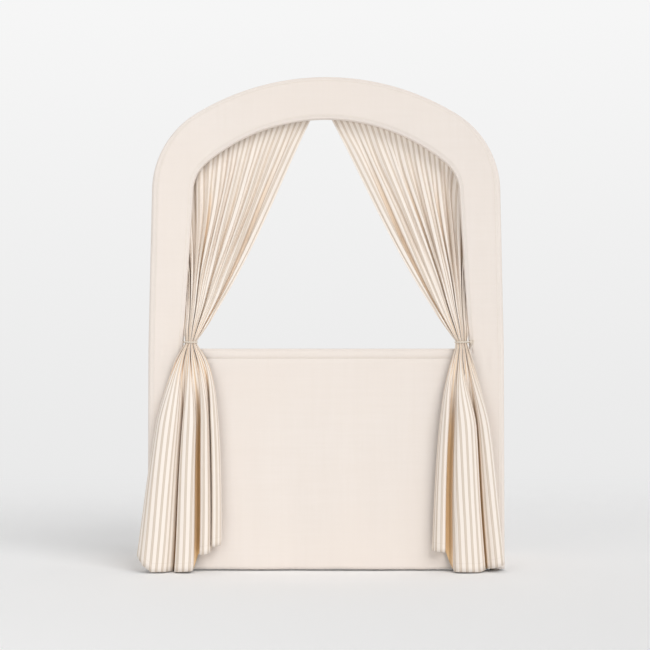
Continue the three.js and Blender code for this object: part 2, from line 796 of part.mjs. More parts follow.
function wingUpright(y) {
  const low = footFloorThickness + seatGap;
  const high = wingTopRailHeight - wingElbowRadius;
  const towardsRung = y > 0 ? -wingTubeDiameter : wingTubeDiameter;
  const rungEnd = [0, y + towardsRung, wingRailHeight];
  return rod([0, y, low], [0, y, high], wingTubeRadius)
    .subtract(rod([0, y, low - cutOverrun], [0, y, high + cutOverrun], wingTubeRadius - wingTubeWall))
    .subtract(bore([0, y, wingRailHeight], rungEnd, rungSpigotDiameter / 2 + slipFit));
}

function wingTopRail() {
  const from = [0, wingElbowRadius, wingTopRailHeight];
  const to = [0, wingDepth - wingElbowRadius, wingTopRailHeight];
  const overFrom = [0, wingElbowRadius - cutOverrun, wingTopRailHeight];
  const overTo = [0, wingDepth - wingElbowRadius + cutOverrun, wingTopRailHeight];
  return rod(from, to, wingTubeRadius).subtract(rod(overFrom, overTo, wingTubeRadius - wingTubeWall));
}

// A moulded corner, flush with the tubes, with a spigot in each of them. Towards is 1 at the hinge tube
// and -1 at the rear tube.
function wingElbow(y, towards) {
  const corner = wingTopRailHeight - wingElbowRadius;
  const bendRadius = wingElbowRadius - 2 * seatGap;
  const points = [new THREE.Vector3(0, y, corner + seatGap)];
  for (let i = 0; i <= elbowSteps; i++) {
    const angle = ((Math.PI / 2) * i) / elbowSteps;
    points.push(new THREE.Vector3(
      0,
      y + towards * bendRadius * (1 - Math.cos(angle)),
      wingTopRailHeight - bendRadius * (1 - Math.sin(angle)),
    ));
  }
  points.push(new THREE.Vector3(0, y + towards * (wingElbowRadius - seatGap), wingTopRailHeight));
  const spigotRadius = wingTubeRadius - wingTubeWall - slipFit;
  return sweep(points, acrossWing, wingTubeRadius)
    .add(rod([0, y, corner - wingElbowSpigot], [0, y, corner + overlapForJoin], spigotRadius))
    .add(rod(
      [0, y + towards * (wingElbowRadius - overlapForJoin), wingTopRailHeight],
      [0, y + towards * (wingElbowRadius + wingElbowSpigot), wingTopRailHeight],
      spigotRadius,
    ));
}

function wingFloorRail() {
  const from = [0, 0, wingRailHeight];
  const to = [0, wingDepth, wingRailHeight];
  return rung(from, to, wingTubeRadius, wingTubeRadius, wingTubeWall);
}

const wingFoot = (y) => foot(0, y, wingTubeRadius + slipFit, wingFootRadius);

// The canvas sleeve of a wing: round at the hinge and rear tubes, closed over the top rail, and cut away
// at the hinge clips.
function wingCanvas() {
  const sleeve = (halfDepth, low, high) => {
    const flat = block([-halfDepth, 0, low], [halfDepth, wingDepth, high]);
    return flat
      .add(rod([0, 0, low], [0, 0, high], boreCorner(halfDepth)))
      .add(rod([0, wingDepth, low], [0, wingDepth, high], boreCorner(halfDepth)));
  };
  const rounded = (inset) => {
    const outer = boreCorner(wingHalfDepth) - inset;
    const radius = wingCornerRadius - inset;
    const high = wingTopHeight - inset;
    const points = [[-outer, 0], [wingDepth + outer, 0]];
    const corners = [[wingDepth + outer - radius, 0], [-outer + radius, Math.PI / 2]];
    for (const [centreY, startAngle] of corners) {
      for (let i = 0; i <= elbowSteps; i++) {
        const angle = startAngle + ((Math.PI / 2) * i) / elbowSteps;
        points.push([centreY + radius * Math.cos(angle), high - radius + radius * Math.sin(angle)]);
      }
    }
    const shape = new THREE.Shape(points.map(([y, z]) => new THREE.Vector2(y, z)));
    const geometry = new THREE.ExtrudeGeometry(shape, { depth: 4 * wingHalfDepth, bevelEnabled: false });
    geometry.translate(0, 0, -2 * wingHalfDepth);
    geometry.rotateX(Math.PI / 2);
    geometry.rotateZ(Math.PI / 2);
    return solidOf(geometry);
  };
  let solid = sleeve(wingHalfDepth, wingHemHeight, wingTopHeight).intersect(rounded(0));
  const hollow = sleeve(wingCavity, wingHemHeight - cutOverrun, wingTopHeight - canvasThickness)
    .intersect(rounded(canvasThickness));
  solid = solid.subtract(hollow);
  const notchReach = clipRingRadius + slotMargin;
  for (const height of Object.values(clipHeights)) {
    solid = solid.subtract(block(
      [-notchReach, -notchReach, height - clipHeight / 2 - slotMargin],
      [notchReach, notchReach, height + clipHeight / 2 + slotMargin],
    ));
  }
  return solid;
}

// The stand put together

addPair("post", post(), steel);
addPair("arch_tube", archTube(), steel);
add("crown_coupler", coupler(tubeArch, postRadius, socketRadius), plastic);
addPair("counter_connector", counterConnector(), plastic);
add("counter_rail", counterRail(), steel);
add(
  "floor_rail",
  rung([-postX, 0, floorRailHeight], [postX, 0, floorRailHeight], postRadius, postRadius, postWall),
  steel,
);
addPair("inner_rail", innerRail(), steel);
add("inner_rail_coupler", coupler(innerArch, innerRailRadius, innerSocketRadius), plastic);
spacerShares.forEach((share, i) => addPair(`arch_spacer_${i + 1}`, archSpacer(share), plastic));
addPair("front_foot", foot(postX, 0, postRadius + slipFit, socketRadius), rubber);
for (const [name, height] of Object.entries(clipHeights)) {
  addPair(`hinge_clip_${name}`, hingeClip(height), plastic);
  addPair(`clip_screw_${name}`, clipScrew(height), zinc);
}

add("stage_cover", archSleeve().add(frontPanel()), canvas);
addPair("header_tape", headerTape(), tape);
addPair("curtain", curtain(), ticking);
addPair("tie_back", tieBack(), cord);

addPair("wing_hinge_tube", wingUpright(0), steel, wingRight, wingLeft);
addPair("wing_rear_tube", wingUpright(wingDepth), steel, wingRight, wingLeft);
addPair("wing_top_rail", wingTopRail(), steel, wingRight, wingLeft);
addPair("wing_floor_rail", wingFloorRail(), steel, wingRight, wingLeft);
addPair("wing_hinge_elbow", wingElbow(0, 1), plastic, wingRight, wingLeft);
addPair("wing_rear_elbow", wingElbow(wingDepth, -1), plastic, wingRight, wingLeft);
addPair("wing_hinge_foot", wingFoot(0), rubber, wingRight, wingLeft);
addPair("wing_rear_foot", wingFoot(wingDepth), rubber, wingRight, wingLeft);
addPair("wing_canvas", wingCanvas(), canvas, wingRight, wingLeft);

export default theatre;
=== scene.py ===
import json
import math

import bmesh
import bpy
import numpy as np
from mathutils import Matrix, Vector
from mathutils.geometry import tessellate_polygon


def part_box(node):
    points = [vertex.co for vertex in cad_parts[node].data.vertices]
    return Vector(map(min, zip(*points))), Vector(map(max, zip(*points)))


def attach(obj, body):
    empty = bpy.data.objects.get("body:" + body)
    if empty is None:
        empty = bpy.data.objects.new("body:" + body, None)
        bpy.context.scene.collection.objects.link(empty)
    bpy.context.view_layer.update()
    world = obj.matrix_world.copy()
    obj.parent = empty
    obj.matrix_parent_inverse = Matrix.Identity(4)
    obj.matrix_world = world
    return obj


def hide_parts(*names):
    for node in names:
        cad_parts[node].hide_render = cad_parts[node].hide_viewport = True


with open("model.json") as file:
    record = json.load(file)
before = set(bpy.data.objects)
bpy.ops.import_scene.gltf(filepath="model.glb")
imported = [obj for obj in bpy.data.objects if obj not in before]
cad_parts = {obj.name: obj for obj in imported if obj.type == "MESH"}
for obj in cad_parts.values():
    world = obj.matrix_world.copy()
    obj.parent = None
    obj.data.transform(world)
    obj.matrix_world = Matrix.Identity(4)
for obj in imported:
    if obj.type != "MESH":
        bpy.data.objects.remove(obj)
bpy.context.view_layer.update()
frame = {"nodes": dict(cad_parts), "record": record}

MM = 0.001
SIDES = ((-1, "left"), (1, "right"))


def middle(node, axis):
    low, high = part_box(node)
    return (low[axis] + high[axis]) / 2


# Where the frame is
FRONT_Y = middle("post_right", 1)
POST_X = middle("post_right", 0)
HINGE_Y = middle("wing_hinge_tube_right", 1)
REAR_Y = middle("wing_rear_tube_right", 1)
COVER_LOW, COVER_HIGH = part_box("stage_cover")
HALF_DEPTH = (COVER_HIGH[1] - COVER_LOW[1]) / 2

# The cover's outline, its pockets and its edges
CROWN_Z = COVER_HIGH[2]
COVER_HALF = 449 * MM
COVER_HALF_AT_COUNTER = 458 * MM
COVER_HALF_AT_FLOOR = 460 * MM
COVER_HAUNCH = 236 * MM
SPRING_Z = 974 * MM
COUNTER_Z = 571 * MM
HEM_Z = COVER_LOW[2]
OPENING_CROWN_Z = 1162 * MM
OPENING_HALF = 343 * MM
OPENING_HALF_AT_COUNTER = 369 * MM
OPENING_HAUNCH = 100 * MM
COUNTER_POCKET = 40 * MM
FLOOR_POCKET_TOP = 56 * MM
HEM_BAND = 26 * MM
CANVAS = 1.2 * MM
EDGE_ROUND = 4 * MM
LEG_ROUND = 11 * MM
CROWN_ROUND = 4.5 * MM
SEAM_HALF = 1.3 * MM
SEAM_DEPTH = 1.0 * MM
ROW_STEP = 9 * MM
POCKET_SEAM_Z = COUNTER_Z - HEM_BAND
PANEL_HALF = OPENING_HALF_AT_COUNTER + EDGE_ROUND + SEAM_HALF

# The hinge clips, and the slots they need
CLIP_HEIGHTS = [middle("hinge_clip_lower_right", 2), middle("hinge_clip_upper_right", 2)]
CLIP_HALF = 15 * MM
CLIP_EDGE = 0.9 * MM
MOULDING_HALF = 13 * MM
SLOT_HALF = 6 * MM

# The tubes, the feet and the rings round them
POST_RADIUS = 9.5 * MM
SOCKET_RADIUS = 12 * MM
WING_TUBE_RADIUS = 8 * MM
WING_FOOT_RADIUS = 10.05 * MM
HINGE_RING_RADIUS = 11 * MM
SLIP_FIT = 0.25 * MM
RUNNING_FIT = 0.3 * MM
TUBE_WALL = 1.2 * MM

# The wings' canvas
WING_HALF_DEPTH = 9.9 * MM
WING_HEM_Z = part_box("wing_canvas_right")[0][2]
WING_TOP_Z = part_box("wing_canvas_right")[1][2]
WING_CORNER = 30 * MM
WING_EDGES = (HINGE_Y - WING_HALF_DEPTH, REAR_Y + WING_HALF_DEPTH)
WING_MIDDLE = sum(WING_EDGES) / 2
FAN_Z = WING_TOP_Z - 150 * MM
NOTCH_HALF = 15 * MM
NOTCH_REACH = 13 * MM
NOTCH_EDGES = [z + s * NOTCH_HALF for z in CLIP_HEIGHTS for s in (-1, 1)]

# The curtains
CLOTH_WIDTH = 540 * MM
CLOTH_THICKNESS = 0.7 * MM
STRIPE_PITCH = 15.5 * MM
HEADER_OUTSET = 40 * MM
LEFT_HEADER_GAP = 21 * MM
RIGHT_HEADER_GAP = -7 * MM
HEADER_END_Z = 870 * MM
TAPE_INNER_OUTSET = 16 * MM
TAPE_HALF = 0.8 * MM
TAPE_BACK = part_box("header_tape_right")[1][1] - FRONT_Y
TIE_Z = 588 * MM
TIE_X = 347 * MM
TIE_FORWARD = 22 * MM
BUNDLE_RADIUS = 15 * MM
NECK_HALF = 3 * MM
CORD_RADIUS = 1.15 * MM

# Stitches, piping and bound edges
STITCH_PITCH = 4.4 * MM
STITCH_LENGTH = 3.1 * MM
STITCH_RADIUS = 0.33 * MM
STITCHES_FROM_OPENING = 10 * MM
STITCHES_FROM_SEAM = 5 * MM
BUTTONHOLE_MARGIN = 1.2 * MM
BINDING_RADIUS = 0.9 * MM
PIPING_RADIUS = 1.1 * MM

# How near points are joined, and a length to divide by in place of none
WELD = 0.001 * MM
SEAM_WELD = 0.05 * MM
CLIP_WELD = 0.005 * MM
NO_LENGTH = 1e-9
# Points round anything turned, with the first one again at the end
ROUND_POINTS = 41


def mix(a, b, t):
    return a + (b - a) * t


def smooth(start, end, value):
    t = np.clip((value - start) / (end - start), 0, 1)
    return t * t * (3 - 2 * t)


def waves(along, up, table):
    """A sum of sine waves: each has its size, its rates along and up, and its start."""
    return sum(size * np.sin(along * a + up * b + start) for size, a, b, start in table)


# Materials


class Nodes:
    """A material's node tree, with short calls for the nodes used here."""

    def __init__(self, name, color, roughness, metallic=0.0):
        self.material = bpy.data.materials.new(name)
        self.material.use_nodes = True
        self.tree = self.material.node_tree
        self.shader = self.tree.nodes["Principled BSDF"]
        self.feed(self.shader, {"Base Color": (*color, 1), "Roughness": roughness, "Metallic": metallic})

    def feed(self, node, inputs):
        """Each input is linked if its value is a socket, and set if it is a number."""
        for key, value in inputs.items():
            if isinstance(value, bpy.types.NodeSocket):
                self.tree.links.new(value, node.inputs[key])
            else:
                node.inputs[key].default_value = value

    def add(self, kind, inputs, **settings):
        node = self.tree.nodes.new(kind)
        for key, value in settings.items():
            setattr(node, key, value)
        self.feed(node, inputs)
        return node

    def math(self, operation, a, b=0.0):
        return self.add("ShaderNodeMath", {0: a, 1: b}, operation=operation).outputs[0]

    def parts(self, vector):
        """The X, Y and Z of a vector."""
        return self.add("ShaderNodeSeparateXYZ", {0: vector}).outputs

    def uv(self, layer="cloth"):
        return self.add("ShaderNodeUVMap", {}, uv_map=layer).outputs[0]

    def where(self, kind="Object"):
        return self.add("ShaderNodeTexCoord", {}).outputs[kind]

    def noise(self, vector, scale, detail, stretch=(1, 1, 1)):
        mapping = self.add("ShaderNodeMapping", {"Scale": stretch, "Vector": vector})
        inputs = {"Scale": scale, "Detail": detail, "Vector": mapping.outputs[0]}
        return self.add("ShaderNodeTexNoise", inputs).outputs["Fac"]

    def blend(self, factor, a, b, mode="MIX"):
        a, b = (c if isinstance(c, bpy.types.NodeSocket) else (*c, 1) for c in (a, b))
        inputs = {"Factor": factor, "A": a, "B": b}
        return self.add("ShaderNodeMix", inputs, data_type="RGBA", blend_type=mode).outputs["Result"]

    def ramp(self, value, low, high):
        inputs = {"Value": value, "From Min": low, "From Max": high}
        return self.add("ShaderNodeMapRange", inputs, interpolation_type="SMOOTHSTEP").outputs["Result"]

    def fall(self, value, low, high):
        """1 up to low, and 0 from high on."""
        return self.math("SUBTRACT", 1.0, self.ramp(value, low, high))

    def times(self, a, b):
        return self.math("MULTIPLY", a, b)

    def weave(self, pitch):
        """A plain weave: warp over weft and weft over warp, by turns."""
        u, v = self.parts(self.uv())[:2]
        across, along = (self.math("SINE", self.times(way, math.pi / pitch)) for way in (u, v))
        return self.times(across, along)

    def paint(self, color):
        self.feed(self.shader, {"Base Color": color})

    def bump(self, height, strength, distance):
        inputs = {"Height": height, "Strength": strength, "Distance": distance}
        self.feed(self.shader, {"Normal": self.add("ShaderNodeBump", inputs).outputs[0]})

    def sheen(self, weight):
        self.feed(self.shader, {"Sheen Weight": weight, "Sheen Roughness": 0.5})


def canvas_material():
    m = Nodes("canvas", (0.87, 0.795, 0.735), 0.92)
    warp, weft = (m.noise(m.where(), 130, 3, thin) for thin in ((1, 1, 0.05), (0.05, 1, 1)))
    slub = m.math("ADD", m.times(warp, 0.5), m.times(weft, 0.5))
    tone = m.blend(m.ramp(slub, 0.3, 0.7), (0.862, 0.785, 0.722), (0.878, 0.803, 0.744))
    cloudy = m.ramp(m.noise(m.where(), 4, 2), 0.3, 0.7)
    m.paint(m.blend(m.times(cloudy, 0.5), tone, (0.868, 0.782, 0.712)))
    m.bump(m.math("ADD", m.weave(0.9 * MM), m.times(slub, 1.2)), 0.3, 0.2 * MM)
    m.sheen(0.12)
    return m.material


def ticking_material():
    m = Nodes("curtain_ticking", (0.85, 0.77, 0.68), 0.9)
    u, v = m.parts(m.uv())[:2]
    place_in_pitch = m.math("FRACT", m.math("DIVIDE", u, STRIPE_PITCH))
    # Distance from the middle of the taupe stripe, as a share of the pitch
    off = m.math("ABSOLUTE", m.math("SUBTRACT", place_in_pitch, 0.5))
    threads = m.noise(m.uv(), 900, 2, (1, 0.02, 1))
    cream = m.blend(threads, (0.93, 0.845, 0.765), (0.96, 0.88, 0.805))
    taupe = m.blend(threads, (0.66, 0.555, 0.455), (0.73, 0.63, 0.53))
    striped = m.blend(m.fall(off, 0.17, 0.235), cream, taupe)
    striped = m.blend(m.times(m.fall(off, 0.03, 0.06), 0.3), striped, cream)
    # Painted light: the glow of light through the thin cloth and between the folds is painted as a warm tint,
    # strongest deep in a fold and only on faces that look forward
    forward = m.fall(m.parts(m.where("Normal"))[1], 0.0, 0.6)
    painted_glow = m.times(m.ramp(m.parts(m.uv("fold"))[0], 0.25, 1.0), forward)
    striped = m.blend(painted_glow, striped, (1.0, 0.74, 0.42), "MULTIPLY")
    hem_line = m.fall(m.math("ABSOLUTE", m.math("SUBTRACT", v, 22 * MM)), 0.4 * MM, 1.0 * MM)
    m.paint(m.blend(m.times(hem_line, 0.12), striped, (0.45, 0.37, 0.29)))
    cloudy = m.noise(m.where(), 40, 3)
    height = m.math("ADD", m.times(m.weave(0.7 * MM), 0.35), m.times(cloudy, 1.5))
    m.bump(m.math("SUBTRACT", height, m.times(hem_line, 2.0)), 0.3, 0.25 * MM)
    m.sheen(0.1)
    return m.material


def tape_material():
    m = Nodes("header_tape", (0.87, 0.81, 0.74), 0.9)
    m.paint(m.blend(m.noise(m.where(), 180, 2), (0.82, 0.75, 0.67), (0.88, 0.82, 0.75)))
    rib = m.math("SINE", m.times(m.parts(m.uv())[1], math.pi / (0.8 * MM)))
    m.bump(rib, 0.4, 0.2 * MM)
    return m.material


def cord_material():
    m = Nodes("tie_cord", (0.85, 0.77, 0.67), 0.85)
    fibre = m.noise(m.uv(), 700, 3, (1, 0.15, 1))
    m.paint(m.blend(fibre, (0.76, 0.67, 0.56), (0.90, 0.83, 0.74)))
    m.bump(fibre, 0.5, 0.2 * MM)
    m.sheen(0.2)
    return m.material


def grained(name, color, roughness, tones, patches, grain, relief, worn=None, rough=None, metallic=0.0,
            coat=0.0):
    """Two tones in patches, and a fine grain: patches and grain are the scale and detail of a noise.
    worn gives the patches an edge, and rough is the least roughness, what is added, and by which noise."""
    m = Nodes(name, color, roughness, metallic)
    m.feed(m.shader, {"Coat Weight": coat})
    noises = {"patches": m.noise(m.where(), *patches), "grain": m.noise(m.where(), *grain)}
    tone = noises["patches"]
    m.paint(m.blend(m.ramp(tone, *worn) if worn else tone, *tones))
    m.bump(noises["grain"], *relief)
    if rough:
        least, more, noise = rough
        m.feed(m.shader, {"Roughness": m.math("ADD", least, m.times(noises[noise], more))})
    return m.material


THREAD_LOOK = grained("sewing_thread", (0.80, 0.72, 0.63), 0.7, ((0.74, 0.65, 0.55), (0.84, 0.77, 0.68)),
                      (2500, 2), (2500, 2), (0.2, 0.05 * MM))
LOOKS = {
    "canvas": canvas_material(),
    "curtain_ticking": ticking_material(),
    "header_tape": tape_material(),
    "tie_cord": cord_material(),
    "tube_steel": grained("tube_steel", (0.82, 0.79, 0.73), 0.42, ((0.83, 0.80, 0.74), (0.74, 0.70, 0.63)),
                          (35, 4), (900, 2), (0.18, 0.08 * MM), (0.62, 0.8), (0.36, 0.16, "patches"),
                          coat=0.15),
    "moulded_plastic": grained("moulded_plastic", (0.78, 0.74, 0.67), 0.5,
                               ((0.76, 0.72, 0.65), (0.81, 0.77, 0.70)), (28, 2), (1600, 3),
                               (0.25, 0.06 * MM), None, (0.44, 0.14, "grain")),
    "foot_rubber": grained("foot_rubber", (0.34, 0.30, 0.25), 0.78, ((0.33, 0.29, 0.245), (0.43, 0.39, 0.34)),
                           (90, 4), (1100, 3), (0.35, 0.1 * MM), (0.5, 0.75)),
    "screw_zinc": grained("screw_zinc", (0.62, 0.63, 0.65), 0.33, ((0.56, 0.57, 0.58), (0.70, 0.71, 0.72)),
                          (700, 3), (700, 3), (0.15, 0.04 * MM), metallic=1.0),
}


# Meshes


def put(name, data):
    made = bpy.data.objects.new(name, data)
    bpy.context.scene.collection.objects.link(made)
    return made


def thicken(piece, thickness, offset=-1.0):
    made = piece.modifiers.new("thickness", "SOLIDIFY")
    made.thickness = thickness
    made.offset = offset
    made.use_even_offset = False


class Skin:
    """Patches of points that share their borders, welded into one mesh."""

    def __init__(self):
        self.points, self.uvs, self.folds, self.faces = [], [], [], []

    def loose(self, points, uvs):
        """Adds points, and says where they start."""
        start = sum(len(p) for p in self.points)
        self.points.append(points.reshape(-1, 3))
        self.uvs.append(uvs.reshape(-1, 2))
        return start

    def patch(self, points, uvs, keep=None, folds=None):
        """points: rows x columns x 3. keep: which cells have a face. folds: how much painted light each point
        gets, the warm glow of light through the cloth that is painted strongest deep in a fold.
        """
        corners = np.arange(points[..., 0].size).reshape(points.shape[:2]) + self.loose(points, uvs)
        cells = np.stack([corners[:-1, :-1], corners[:-1, 1:], corners[1:, 1:], corners[1:, :-1]], axis=-1)
        self.faces += (cells.reshape(-1, 4) if keep is None else cells[keep]).tolist()
        if folds is not None:
            self.folds.append(np.stack([folds, folds], axis=-1).reshape(-1, 2))

    def build(self, name, body, slot, nodes=(), look=None, outward=None, weld=WELD, shape=None):
        """The piece made of the patches. It rides on a body and stands for the frame's nodes."""
        points = np.concatenate(self.points)
        mesh = bpy.data.meshes.new(name)
        mesh.from_pydata((shape(points) if shape else points).tolist(), [], self.faces)
        corner = np.empty(len(mesh.loops), dtype=np.int32)
        mesh.loops.foreach_get("vertex_index", corner)
        # The fold layer carries the painted light: how strongly each point is painted with the warm glow of
        # light through the cloth.
        for layer, values in (("cloth", self.uvs), ("fold", self.folds)):
            if values:
                uvs = np.concatenate(values)[corner].ravel()
                mesh.uv_layers.new(name=layer).data.foreach_set("uv", uvs)
        work = bmesh.new()
        work.from_mesh(mesh)
        bmesh.ops.remove_doubles(work, verts=work.verts, dist=weld)
        bmesh.ops.recalc_face_normals(work, faces=work.faces)
        if outward is not None:
            test = max(work.faces, key=lambda face: face.calc_center_median().dot(Vector(outward)))
            if test.normal.dot(Vector(outward)) < 0:
                bmesh.ops.reverse_faces(work, faces=work.faces)
        work.to_mesh(mesh)
        work.free()
        mesh.shade_smooth()
        mesh.materials.append(look or LOOKS[slot])
        piece = put(name, mesh)
        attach(piece, body)
        if nodes:
            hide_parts(*nodes)
        return piece


def run_of(path):
    """The distance from a path's start to each of its points."""
    return np.concatenate([[0], np.cumsum(np.linalg.norm(np.diff(path, axis=0), axis=1))])


def sample(path, measure, wanted):
    """The points of a path where its measure has the wanted values."""
    return np.stack([np.interp(wanted, measure, path[:, k]) for k in range(path.shape[1])], axis=-1)


def along_path(path, distances):
    path = np.asarray(path, dtype=float)
    return sample(path, run_of(path), distances)


def rounded(corners, radius, samples):
    """A polyline with evenly spaced points, its corners rounded to about that radius."""
    length = run_of(corners)[-1]
    line = along_path(corners, np.linspace(0, length, samples))
    width = 2.5
    reach = max(2, int(width * radius / (length / samples)))
    weights = np.exp(-0.5 * np.linspace(-width, width, 2 * reach + 1) ** 2)
    weights /= weights.sum()
    head = 2 * line[0] - line[1:reach + 1][::-1]
    tail = 2 * line[-1] - line[-reach - 1:-1][::-1]
    longer = np.concatenate([head, line, tail])
    return np.stack([np.convolve(way, weights, "valid") for way in longer.T], axis=-1)


def arc(centre, radius, start, end, count):
    """Points on an arc, with both its ends."""
    angles = np.linspace(start, end, count)
    return np.array(centre) + radius * np.column_stack([np.cos(angles), np.sin(angles)])


def rows_through(marks):
    """Heights from the lowest mark to the highest, on each mark and about evenly between them."""
    marks = sorted(marks)
    rows = [marks[0]]
    for low, high in zip(marks, marks[1:]):
        steps = max(1, round((high - low) / ROW_STEP))
        rows.extend(mix(low, high, i / steps) for i in range(1, steps + 1))
    return rows


def frames_on(path, closed=False):
    """Two directions across a path at each of its points, without twist."""
    ahead, behind = np.roll(path, -1, axis=0), np.roll(path, 1, axis=0)
    if not closed:
        ahead[-1], behind[0] = path[-1], path[0]
    tangent = ahead - behind
    tangent /= np.linalg.norm(tangent, axis=1)[:, None]
    normal = np.cross(tangent[0], (0, 0, 1) if abs(tangent[0][2]) < 0.9 else (1, 0, 0))
    normals = np.empty_like(path)
    for i in range(len(path)):
        normal = normal - tangent[i] * normal.dot(tangent[i])
        normal /= np.linalg.norm(normal)
        normals[i] = normal
    return normals, np.cross(tangent, normals)


def tube_on(skin, path, radius, sides=8, closed=False):
    """A round bar along a path of points, with closed ends unless the path closes on itself."""
    path = np.asarray(path, dtype=float)
    turn = np.linspace(0, 2 * math.pi, sides + 1)[:, None]
    across, upwards = (way[:, None] for way in frames_on(path, closed))
    rings = path[:, None] + radius * (np.cos(turn) * across + np.sin(turn) * upwards)
    if closed:
        rings, path = np.concatenate([rings, rings[:1]]), np.concatenate([path, path[:1]])
    else:
        ends = np.repeat(path[[0, -1], None], sides + 1, axis=1)
        rings = np.concatenate([ends[:1], rings, ends[1:]])
        path = np.concatenate([path[:1], path, path[-1:]])
    skin.patch(rings, np.stack(np.meshgrid(turn * radius, run_of(path)), axis=-1))


def rope_on(skin, path, radius, closed=False):
    """A cord of three plies, laid round each other along a path."""
    path = np.asarray(path, dtype=float)
    if closed:
        path = np.concatenate([path, path[:1]])
    length, step, lay = run_of(path)[-1], 0.45 * radius, 7 * radius
    run = np.linspace(0, length, max(12, round(length / step)))
    path = along_path(path, run)
    across, upwards = frames_on(path)
    for ply in range(3):
        turn = (2 * math.pi * (run / lay + ply / 3))[:, None]
        tube_on(skin, path + 0.5 * radius * (np.cos(turn) * across + np.sin(turn) * upwards), 0.54 * radius, 7)


def stitches_on(skin, line, facing):
    """A row of stitches on a line of points. Facing is the way out of the cloth."""
    total = run_of(line)[-1]
    lift = STITCH_RADIUS * np.array([-0.8, 0.25, 0.55, 0.25, -0.8])[:, None]
    for start in np.arange(STITCH_PITCH / 2, total - STITCH_LENGTH, STITCH_PITCH):
        points = along_path(line, start + STITCH_LENGTH * np.array([0, 0.14, 0.5, 0.86, 1]))
        tube_on(skin, points + lift * facing, STITCH_RADIUS, 6)


def turned(node, form, profile, centre, body, slot, rounding, samples):
    """A piece turned about an upright axis. The profile is (radius, height), from the axis outwards."""
    profile = rounded(profile, rounding, samples)
    profile[0, 0] = profile[-1, 0] = 0
    turn = np.linspace(0, 2 * math.pi, ROUND_POINTS)
    radius, height = profile[:, :1], np.repeat(profile[:, 1:], len(turn), axis=1)
    points = np.stack([radius * np.cos(turn), radius * np.sin(turn), height], axis=-1) + np.array(centre)
    skin = Skin()
    skin.patch(points, np.stack([np.broadcast_to(turn * 10 * MM, height.shape), height], axis=-1))
    skin.build(f"{node}_{form}", body, slot, [node])


# Arches


def on_arc(centre, radius, angle):
    """A point on an arc, and the way out of the arc there."""
    normal = np.array([math.cos(angle), math.sin(angle)])
    return np.array(centre) + radius * normal, normal


class Arch:
    """Two haunch arcs on leaning legs, and a crown arc tangent to both."""

    def __init__(self, half, crown, haunch, half_at_counter):
        rise = crown - SPRING_Z
        self.half, self.haunch, self.half_at_counter = half, haunch, half_at_counter
        self.haunch_x = half - haunch
        self.radius = (self.haunch_x**2 + rise**2 - haunch**2) / (2 * (rise - haunch))
        self.centre_z = crown - self.radius
        self.join = math.atan2(SPRING_Z - self.centre_z, self.haunch_x)
        self.crown_length = self.radius * (math.pi / 2 - self.join)
        self.haunch_length = self.haunch * self.join

    def leg_x(self, z):
        return mix(self.half, self.half_at_counter, (SPRING_Z - z) / (SPRING_Z - COUNTER_Z))

    def on_haunch(self, share):
        return on_arc((self.haunch_x, SPRING_Z), self.haunch, self.join * share)

    def on_crown(self, share):
        return on_arc((0, self.centre_z), self.radius, mix(self.join, math.pi / 2, share))

    def length(self, foot_z):
        return self.crown_length + self.haunch_length + SPRING_Z - foot_z

    def at(self, distance):
        """The point at a distance from the crown, down the right side."""
        if distance < self.crown_length:
            return self.on_crown(1 - distance / self.crown_length)[0]
        distance -= self.crown_length
        if distance < self.haunch_length:
            return self.on_haunch(1 - distance / self.haunch_length)[0]
        z = SPRING_Z - (distance - self.haunch_length)
        return np.array([self.leg_x(z), z])


def opening_arch(outset):
    return Arch(OPENING_HALF + outset, OPENING_CROWN_Z + outset, OPENING_HAUNCH + outset,
                OPENING_HALF_AT_COUNTER + outset)


OUTER = Arch(COVER_HALF, CROWN_Z, COVER_HAUNCH, COVER_HALF_AT_COUNTER)
INNER = opening_arch(0)


# The slip cover

# Rows from the hem up to the corner of the opening, with rows on every seam and slot
LEG_ROWS = rows_through([HEM_Z, FLOOR_POCKET_TOP, *[z + s * CLIP_HALF for z in CLIP_HEIGHTS for s in (-1, 1)],
                         COUNTER_Z - COUNTER_POCKET, POCKET_SEAM_Z - SEAM_HALF, POCKET_SEAM_Z,
                         POCKET_SEAM_Z + SEAM_HALF, COUNTER_Z - EDGE_ROUND])
LEG_STEPS = 36
HAUNCH_STEPS = 22
CROWN_STEPS = 36
FRONT_STEPS = 9
BACK_STEPS = 6
WRAP_STEPS = 7
COUNTER_COLUMNS = 97

# Waves in the front below the pocket's seam, without the largest, which sways and is in cover_drape. Then the
# ripples above that seam, and the waves of the hem, as shares of its lift
FRONT_WAVES = ((0.28, 41, -4, 1.9), (0.14, 67, 6, 4.0), (0.35, 11, -3, 0))
RIPPLES = ((0.7 * MM, 31, 17, 0), (0.5 * MM, 9, 43, 0))
HEM_WAVES = ((1, 19, 0, 1), (0.5, 47, 0, 0))
HEM_LIFT = 0.8 * MM
# Creases in the stiles, where the frame's joint is: foot, head and depth
CREASES = (((0.447, 0.578), (0.405, 0.565), 2.2 * MM), ((0.41, 0.566), (0.418, 0.50), 1.6 * MM))


